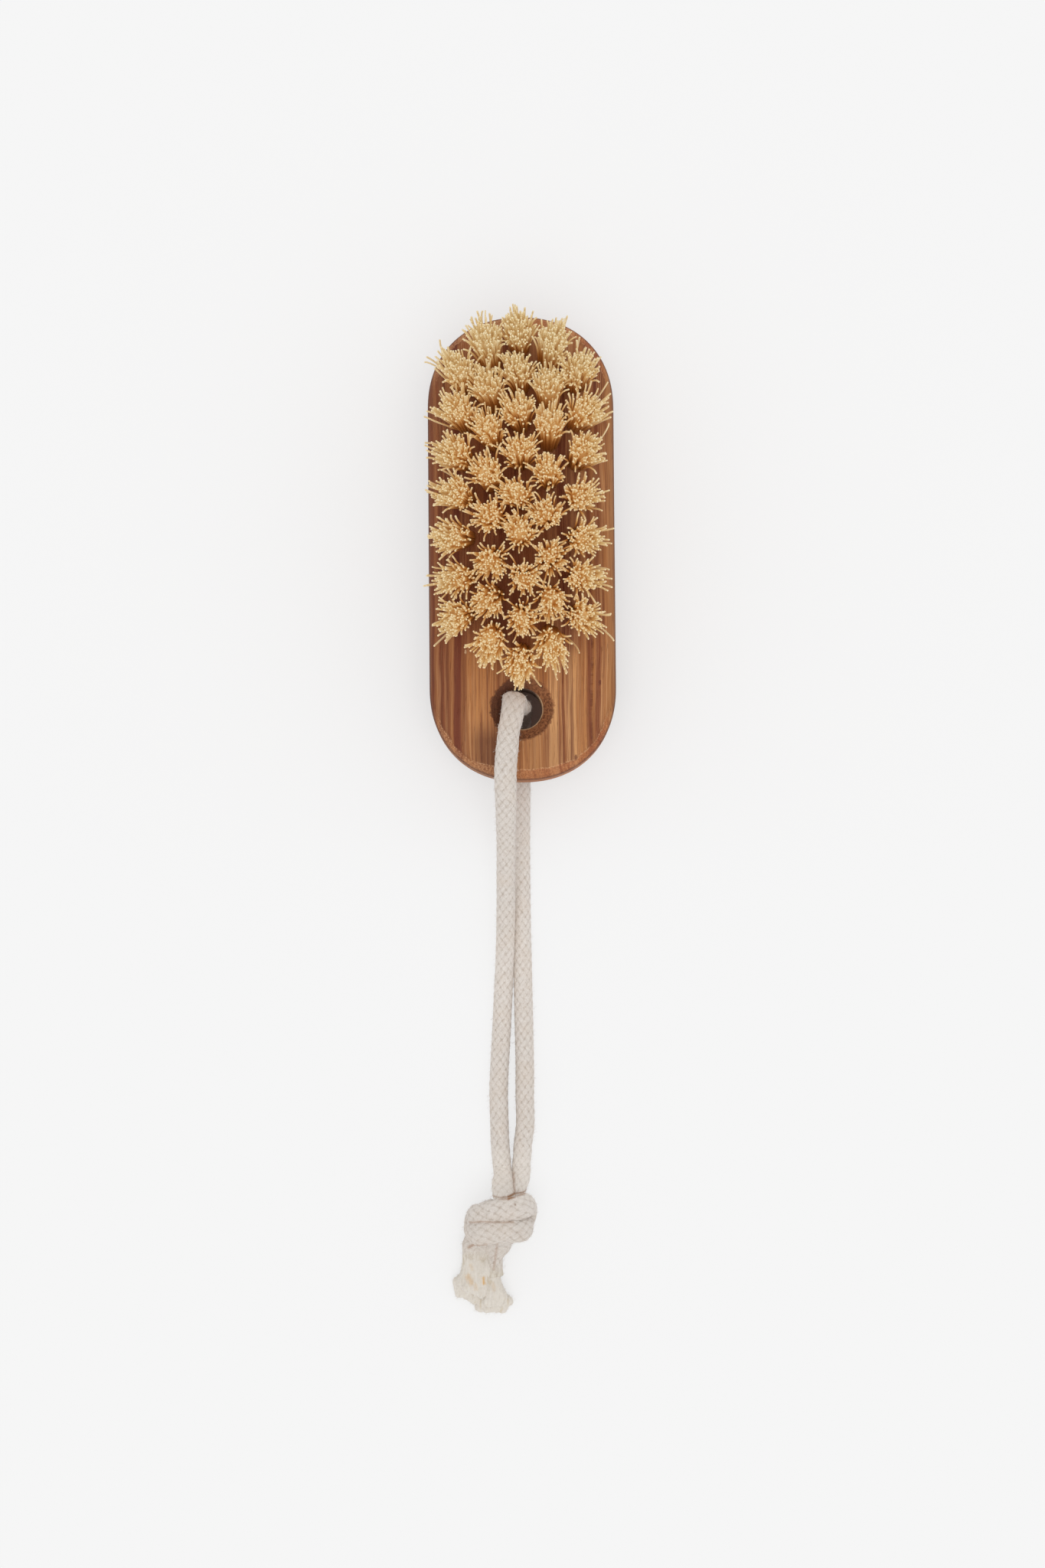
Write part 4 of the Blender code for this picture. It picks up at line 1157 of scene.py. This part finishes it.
fray = fray_finish()
for kind, locks, seed in (("over", OVER_LOCKS, 11), ("under", UNDER_LOCKS, 23)):
    name = f"frayed_{kind}"
    sizes = {
        "Per Square Metre": FRAY_FUZZ_PER_SQUARE_METRE, "Length": FUZZ_LENGTH, "Thickness": FUZZ_THICKNESS,
        "Seed": seed,
    }
    mesh = run_tree(name, brushed_mass(name + "_mass", locks), fuzz_nodes, sizes, fray)
    add_piece(name, mesh, fray, "frayed_cotton", f"frayed_end_{kind}")


# Block

def outline_ring(inset, z):
    """The block's outline: straight sides and full-shouldered ends."""
    radius = BLOCK_WIDTH / 2 - inset
    straight = (BLOCK_LENGTH - BLOCK_WIDTH) / 2
    power = 2 / END_SQUARENESS
    ring = []
    for end, start in ((1, 0.0), (-1, math.pi)):
        for step in range(END_STEPS + 1):
            angle = start + math.pi * step / END_STEPS
            across = math.copysign(abs(math.cos(angle)) ** power, math.cos(angle))
            along = end * abs(math.sin(angle)) ** power
            ring.append(Vector((radius * across, end * straight + radius * along, z)))
    return ring


def loft(rings):
    bm = bmesh.new()
    rows = [[bm.verts.new(point) for point in ring] for ring in rings]
    for low, high in zip(rows, rows[1:]):
        for i in range(len(low)):
            j = (i + 1) % len(low)
            bm.faces.new((low[i], low[j], high[j], high[i]))
    bm.faces.new(list(reversed(rows[0])))
    bm.faces.new(rows[-1])
    bmesh.ops.recalc_face_normals(bm, faces=bm.faces)
    return bm


def round_solid(profile, centre, axis, side, sides):
    """A turned solid: (radius, height) pairs along an axis, where side is square to the axis."""
    along = axis.cross(side)
    rings = []
    for radius, height in profile:
        ring = []
        for i in range(sides):
            angle = 2 * math.pi * i / sides
            ring.append(centre + axis * height + (side * math.cos(angle) + along * math.sin(angle)) * radius)
        rings.append(ring)
    return loft(rings)


def rounded_edge():
    """How far the edge's rounding lies in from the side and from the face, starting at the face."""
    crease = math.radians(EDGE_CREASE_DEGREES)
    edge = []
    for step in range(EDGE_STEPS + 1):
        angle = crease + (math.pi / 2 - crease) * step / EDGE_STEPS
        inset = EDGE_ROUNDING * (1 - math.sin(angle)) / (1 - math.sin(crease))
        drop = EDGE_ROUNDING * (math.cos(crease) - math.cos(angle)) / math.cos(crease)
        edge.append((inset, drop))
    return edge


def cord_hole():
    """The solid that the cord's hole takes out: a bore with a countersink at both faces."""
    bore = CORD_HOLE_DIAMETER / 2
    mouth = COUNTERSINK_DIAMETER / 2 + CUTTER_OVERLAP
    half = [
        (mouth, -CUTTER_OVERLAP), (bore + COUNTERSINK_EASING, COUNTERSINK_DEPTH - COUNTERSINK_EASING),
        (bore, COUNTERSINK_DEPTH + COUNTERSINK_EASING / 2),
    ]
    profile = half + [(radius, BLOCK_THICKNESS - height) for radius, height in reversed(half)]
    centre = Vector((CORD_HOLE_X, CORD_HOLE_Y, 0.0))
    return round_solid(profile, centre, Vector((0, 0, 1)), Vector((1, 0, 0)), HOLE_SIDES)


def tuft_hole(column, row):
    """The solid that a tuft's blind hole takes out, leaning as the tuft does, with the drill's tip."""
    radius = TUFT_HOLE_DIAMETER / 2
    x, step = tuft_foot(column, row)
    lean = Vector((x * (TIP_FAN_ACROSS - 1), step * (TIP_FAN_ALONG - 1), BRISTLE_TOP - BLOCK_THICKNESS))
    axis = lean.normalized()
    side = Vector((0, 1, 0)).cross(axis).normalized()
    profile = [
        (radius * 0.1, -TUFT_HOLE_DEPTH - DRILL_TIP), (radius, -TUFT_HOLE_DEPTH), (radius, CUTTER_OVERLAP),
    ]
    centre = Vector((x, FIELD_CENTRE_Y + step, BLOCK_THICKNESS))
    return round_solid(profile, centre, axis, side, TUFT_HOLE_SIDES)


def build_block(finish):
    edge = rounded_edge()
    rings = [outline_ring(inset, drop) for inset, drop in edge]
    rings += [outline_ring(inset, BLOCK_THICKNESS - drop) for inset, drop in reversed(edge)]
    block = add_object("block", mesh_of(loft(rings), "block"))
    holes = cord_hole()
    for column, pushes in PUSHED_OVER.items():
        for row in range(len(pushes)):
            hole = mesh_of(tuft_hole(column, row), "tuft_hole")
            holes.from_mesh(hole)
            bpy.data.meshes.remove(hole)
    cutter = add_object("cutter", mesh_of(holes, "cutter"))
    cut = block.modifiers.new("holes", "BOOLEAN")
    cut.operation = "DIFFERENCE"
    cut.solver = "EXACT"
    cut.object = cutter
    mesh = plain_mesh(block, cutter)
    mesh.transform(BLOCK_AT_REST)
    mesh.shade_smooth()
    mesh.set_sharp_from_angle(angle=math.radians(SHARP_EDGE_DEGREES))
    mesh.name = "block"
    return add_piece("block", mesh, finish, "wood", "wooden_block")


def wood_stripes(finish, ring):
    """The stripes across the block. A colour ramp holds few stops, so each half has its own."""
    width = BLOCK_WIDTH * PER_MM
    halves = []
    for stripes in WOOD_STRIPES:
        stops = [((place + width / 2) / width, tone) for place, tone in stripes]
        halves.append(finish.ramp((ring + width / 2) * (1 / width), WOOD_TONES, *stops))
    return finish.mix(finish.fade(ring, 0.3, 0.5), *halves)


def wood_grain(finish, colour, ring, y, z):
    """Streaks from broad bands to single pores, fewer pale ones in the dark stripes, and their relief."""
    coarse = finish.noise(finish.combine(ring * 0.8, y * 0.012, z * 0.15), 1.0, 2.0, 0.6)
    bands = finish.noise(finish.combine(ring * 0.35, y * 0.008, 7.0), 1.0, 1.0, 0.5)
    lines = finish.noise(finish.combine(ring * 1.7, y * 0.022, z * 0.5), 1.0, 3.0, 0.65)
    fine = finish.noise(finish.combine(ring * 2.9, y * 0.030, z * 0.9), 1.0, 2.0, 0.6)
    hairs = finish.noise(finish.combine(ring * 4.6, y * 0.05, z * 1.6), 1.0, 2.0, 0.6)
    pores = finish.noise(finish.combine(ring * 6.5, y * 0.30, z * 3.0), 1.0, 1.0, 0.5)
    lined = 0.35 + 0.65 * finish.fade(bands, 0.40, 0.60)
    left_band = finish.fade(abs(ring + 14.1), 1.1, 0.8)
    right_band = finish.fade(abs(ring - 15.2), 1.7, 1.2)
    plain = finish.math("MAXIMUM", left_band * 0.85, right_band * 0.45)
    streaked = 1.0 - finish.math("MAXIMUM", plain, finish.fade(ring, -15.2, -16.0) * 0.5)
    fine_share = streaked * (0.26 + 0.20 * finish.fade(ring, 0.0, 5.0))
    colour = finish.layers(
        colour, WOOD_TONES, (coarse, 0.52, 0.68, 0.42, "dark"),
        (coarse, 0.46, 0.32, streaked * 0.40, "honey"), (lines, 0.54, 0.60, lined * 0.64, "dark line"),
        (lines, 0.45, 0.38, lined * streaked * 0.50, "pale line"),
        (fine, 0.55, 0.66, 0.35, "fine dark"), (fine, 0.45, 0.34, fine_share, "fine pale"),
        (hairs, 0.56, 0.64, lined * 0.40, "dark hair"), (hairs, 0.44, 0.36, streaked * 0.26, "pale hair"),
        (pores, 0.67, 0.73, 0.40, "pore"))
    relief = hairs * 0.35 + lines * 0.35 - finish.fade(pores, 0.64, 0.74) * 0.5
    return colour, lines, relief


def wood_shades(finish, colour, x, y, z):
    """Painted shade between the tufts, redder from light thrown back by the fibres, and darker wood on both
    sides of the cord.
    """
    # painted shade on the top face between the tufts
    painted_shade_among_tufts = finish.fade(abs(x), 14.0, 11.8) * finish.fade(y, -24.0, -20.5)
    painted_shade_among_tufts = painted_shade_among_tufts * finish.fade(y, 47.0, 45.0) * finish.fade(z, 12.6, 12.9)
    colour = finish.tint(colour, painted_shade_among_tufts * 0.36, WOOD_TONES["among tufts"])
    left_of_cord = finish.fade(x, -12.8, -8.6) * finish.fade(x, -4.0, -6.0) * finish.fade(y, -36.0, -42.0)
    colour = finish.tint(colour, left_of_cord * 0.66, WOOD_TONES["left of cord"])
    right_of_cord = finish.fade(x, 0.2, 1.4) * finish.fade(x, 9.0, 8.2) * finish.fade(y, -36.0, -41.5)
    return finish.tint(colour, right_of_cord * 0.26, WOOD_TONES["right of cord"])


def wood_rim(finish, colour, local, specks):
    """The edge: speckled end grain round both ends, its right half in painted shade, a broken pale painted
    highlight at its inner edge, and painted shade over the rounding and darker at the outer edge.
    """
    tones = WOOD_TONES
    x, y, z = finish.separate(local)
    half_width = BLOCK_WIDTH / 2 * PER_MM
    straight = BLOCK_LENGTH / 2 * PER_MM - half_width
    beyond = finish.math("MAXIMUM", abs(y) - straight, 0.0)
    from_axis = finish.math("POWER", abs(x), END_SQUARENESS) + finish.math("POWER", beyond, END_SQUARENESS)
    from_axis = finish.math("POWER", from_axis, 1 / END_SQUARENESS)
    from_side = half_width - from_axis
    facing_end = beyond / from_axis
    ragged = finish.noise(local, 1.1, 3.0, 0.7)
    worn = finish.noise(local, 0.42, 2.0, 0.6)
    inwards = from_side + (ragged - 0.5) * 0.50 + (worn - 0.5) * 1.1
    inwards = inwards - finish.fade(facing_end, 0.78, 1.0) * 0.9
    end_zone = finish.fade(facing_end, 0.18, 0.50)
    rim = finish.fade(inwards, 1.26, 1.06) * end_zone
    left, right = finish.fade(specks, 0.42, 0.58), finish.fade(specks, 0.40, 0.60)
    left = finish.mix(left, paint(*tones["end grain"]), paint(*tones["end pore"]))
    # painted shade: the end grain is darker and redder on the right, the side away from the light
    right = finish.mix(right, paint(*tones["shaded end grain"]), paint(*tones["shaded end pore"]))
    end_grain = finish.mix(finish.fade(x, -4.0, 3.0), left, right)
    colour = finish.mix(rim * 0.9, colour, finish.mix(0.42, end_grain, colour))
    # painted highlight: a broken pale line at the inner edge of the end grain
    lip_highlight = finish.fade(inwards, 1.02, 1.14) * finish.fade(inwards, 1.36, 1.24) * end_zone
    colour = finish.tint(colour, lip_highlight * finish.fade(specks, 0.56, 0.42) * 0.55, tones["lip_highlight"])
    # painted shade over the rounding, which turns away from the light
    rounding_shade = finish.fade(from_side, 2.2, 0.8) * (1.0 - rim)
    colour = finish.tint(colour, rounding_shade * 0.42, tones["rounding_shade"])
    # painted shade: a dark line along the outer edge, near the top face
    brink_shade = finish.fade(from_side, 0.50, 0.10) * finish.fade(z, 9.0, 11.6)
    return finish.tint(colour, brink_shade * 0.6, tones["brink_shade"]), rim


def wood_marks(finish, colour, ring, local, specks):
    """A crack that comes and goes along a dark stripe, and the small marks."""
    x, y, z = finish.separate(local)
    broken = finish.noise(finish.combine(0.0, y * 0.16, 4.0), 1.0, 4.0, 0.8)
    crack = finish.fade(abs(ring - 14.9), 0.40, 0.12) * (0.25 + 0.75 * finish.fade(broken, 0.42, 0.60))
    crack = crack * finish.fade(y, -12.0, -20.0) * finish.fade(y, -44.0, -41.0)
    colour = finish.tint(colour, crack * 0.60, WOOD_TONES["crack"])
    for mark_x, mark_y, size, tone in WOOD_MARKS:
        away = finish.distance(x - mark_x, (y - mark_y) * 0.5) + (specks - 0.5) * (size * 1.4)
        mark = finish.fade(away, size, size * 0.4)
        colour = finish.tint(colour, mark * finish.fade(z, 9.0, 11.0) * 0.8, tone)
    return colour, crack


def wood_countersink(finish, colour, local):
    """The countersink: rough and torn, with painted shade on one side and a painted highlight on the lit side
    of the bore's rim.
    """
    tones = WOOD_TONES
    x, y, _ = finish.separate(local)
    from_x, from_y = x - CORD_HOLE_X * PER_MM, y - CORD_HOLE_Y * PER_MM
    away = finish.distance(from_x, from_y)
    bore = CORD_HOLE_DIAMETER / 2 * PER_MM
    mouth = COUNTERSINK_DIAMETER / 2 * PER_MM
    torn = finish.noise(local, 1.9, 4.0, 0.78)
    chips = finish.noise(local, 0.9, 3.0, 0.75)
    sunk = finish.fade(away + (torn - 0.5) * 1.3 + (chips - 0.5) * 1.6, mouth + 0.35, mouth - 0.10)
    # painted shade on the side of the countersink away from the light
    shaded = finish.fade((from_y * 0.55 - from_x) / away, -0.7, 1.0)
    rough = finish.mix(finish.fade(torn, 0.42, 0.60), paint(*tones["torn pale"]), paint(*tones["torn dark"]))
    outer = finish.fade(away + (torn - 0.5) * 2.2, mouth - 1.0, mouth) * finish.fade(from_y, 1.0, -3.0)
    rough = finish.tint(rough, outer * 0.5, tones["torn edge"])
    shade = finish.mix(torn, paint(*tones["lit shade"]), paint(*tones["shade"]))
    rough = finish.mix(shaded * 0.85, rough, shade)
    colour = finish.mix(sunk * 0.9, colour, rough)
    colour = finish.tint(colour, finish.fade(away, bore + 0.18, bore + 0.06), tones["bore edge"])
    # painted highlight on the lit side of the bore's rim
    rim_highlight = finish.fade(away, bore - 0.08, bore + 0.02) * finish.fade(away, bore + 0.26, bore + 0.16)
    lit_side = finish.fade((from_x - from_y * 0.7) / away, 0.0, 0.7)
    return finish.tint(colour, rim_highlight * lit_side * 0.9, tones["rim_highlight"]), sunk, torn


def wood_finish():
    """Striped hardwood with an oil finish. Its patterns lie on the block's own axes, in mm."""
    finish = Finish("striped_hardwood")
    back = Matrix.Rotation(BLOCK_TILT, 4, "X") @ BLOCK_AT_REST.translation
    values = {
        "Vector": finish.place(), "Location": tuple(-PER_MM * part for part in back),
        "Rotation": (BLOCK_TILT, 0.0, 0.0), "Scale": (PER_MM, PER_MM, PER_MM),
    }
    local = finish.node("ShaderNodeMapping", {"vector_type": "POINT"}, values)
    x, y, z = finish.separate(local)
    sway = finish.noise(finish.combine(x * 0.03, y * 0.035, z * 0.06), 1.0, 2.0)
    ring = x + (z - BLOCK_THICKNESS * PER_MM) * 0.28 + (sway - 0.5) * 2.0
    specks = finish.noise(local, 3.0, 3.0, 0.7)
    colour, lines, relief = wood_grain(finish, wood_stripes(finish, ring), ring, y, z)
    colour = wood_shades(finish, colour, x, y, z)
    colour, rim = wood_rim(finish, colour, local, specks)
    colour, crack = wood_marks(finish, colour, ring, local, specks)
    colour, sunk, torn = wood_countersink(finish, colour, local)
    finish.set("Base Color", colour)
    finish.set("Roughness", 0.48 + 0.14 * lines + 0.30 * sunk + 0.12 * rim)
    finish.set("Specular IOR Level", 0.3)
    finish.relief(relief + sunk * torn * 3.0 - crack * 2.0, 0.00014, 0.6)
    return finish


build_block(wood_finish())


# Floor and light

FLOOR_TONE = (246, 246, 246)
FLOOR_SHADE_UNDER_HOLE = (176, 152, 142)
FLOOR_HALF_SIZE = 3.0
FLOOR_GLOW = 0.54  # how much of the floor that the camera sees is an even glow
CORD_FLOOR_GLOW = 0.24  # how much more of it beside the cord
SKY_LIGHT = 0.80  # the rest of the light comes from one soft lamp
BACKDROP = 0.92  # how bright the sky looks to the camera
LAMP_SPREAD_DEGREES = 50
LAMP_LEAN = Vector((0.02, -0.28, 1.0)).normalized()


def build_floor():
    """A pale sheet. The camera sees about half of its real shading, and less of it beside the cord."""
    bm = bmesh.new()
    bmesh.ops.create_grid(bm, x_segments=1, y_segments=1, size=FLOOR_HALF_SIZE)
    floor = add_object("floor", mesh_of(bm, "floor"))
    finish = Finish("pale_floor")
    finish.set("Roughness", 1.0)
    finish.set("Specular IOR Level", 0.0)
    glow = finish.node("ShaderNodeEmission", None, {"Color": paint(*FLOOR_TONE), "Strength": 1.0})
    x, y, _ = finish.separate(finish.place())
    beyond = finish.math("MAXIMUM", abs(y) - 0.030, 0.0)
    open_floor = finish.fade(finish.distance(x, beyond), 0.0175, 0.0198)
    # painted shade on the floor under the cord's hole, seen only through it
    shade_under_hole = finish.fade(finish.distance(x, y - CORD_HOLE_Y), 0.012, 0.0095)
    finish.set("Base Color", finish.mix(shade_under_hole, paint(*FLOOR_TONE), paint(*FLOOR_SHADE_UNDER_HOLE)))
    seen = finish.node("ShaderNodeLightPath", None, None, "Is Camera Ray")
    by_cords = finish.fade(y, -0.055, -0.075) * finish.fade(y, -0.168, -0.128)
    share = seen * open_floor * (FLOOR_GLOW + CORD_FLOOR_GLOW * by_cords)
    shader = Link(finish, finish.shader.outputs[0])
    mixed = finish.node("ShaderNodeMixShader", None, {0: share, 1: shader, 2: glow})
    surface = finish.tree.nodes["Material Output"].inputs["Surface"]
    finish.tree.links.new(mixed.socket, surface)
    floor.data.materials.append(finish.material)


def add_light():
    world = bpy.data.worlds.new("studio")
    bpy.context.scene.world = world
    world.use_nodes = True
    studio = Nodes(world.node_tree)
    seen = studio.node("ShaderNodeLightPath", None, None, "Is Camera Ray")
    strength = seen * (BACKDROP - SKY_LIGHT) + SKY_LIGHT
    background = world.node_tree.nodes["Background"]
    background.inputs["Color"].default_value = (1.0, 1.0, 1.0, 1.0)
    world.node_tree.links.new(strength.socket, background.inputs["Strength"])
    lamp = bpy.data.lights.new("soft_box", "SUN")
    lamp.angle = math.radians(LAMP_SPREAD_DEGREES)
    lamp.energy = math.pi * (1 - SKY_LIGHT) / LAMP_LEAN.z
    light = add_object("soft_box", lamp)
    light.rotation_euler = (-LAMP_LEAN).to_track_quat("-Z", "Y").to_euler()


build_floor()
add_light()
bpy.context.scene.view_settings.view_transform = "Standard"
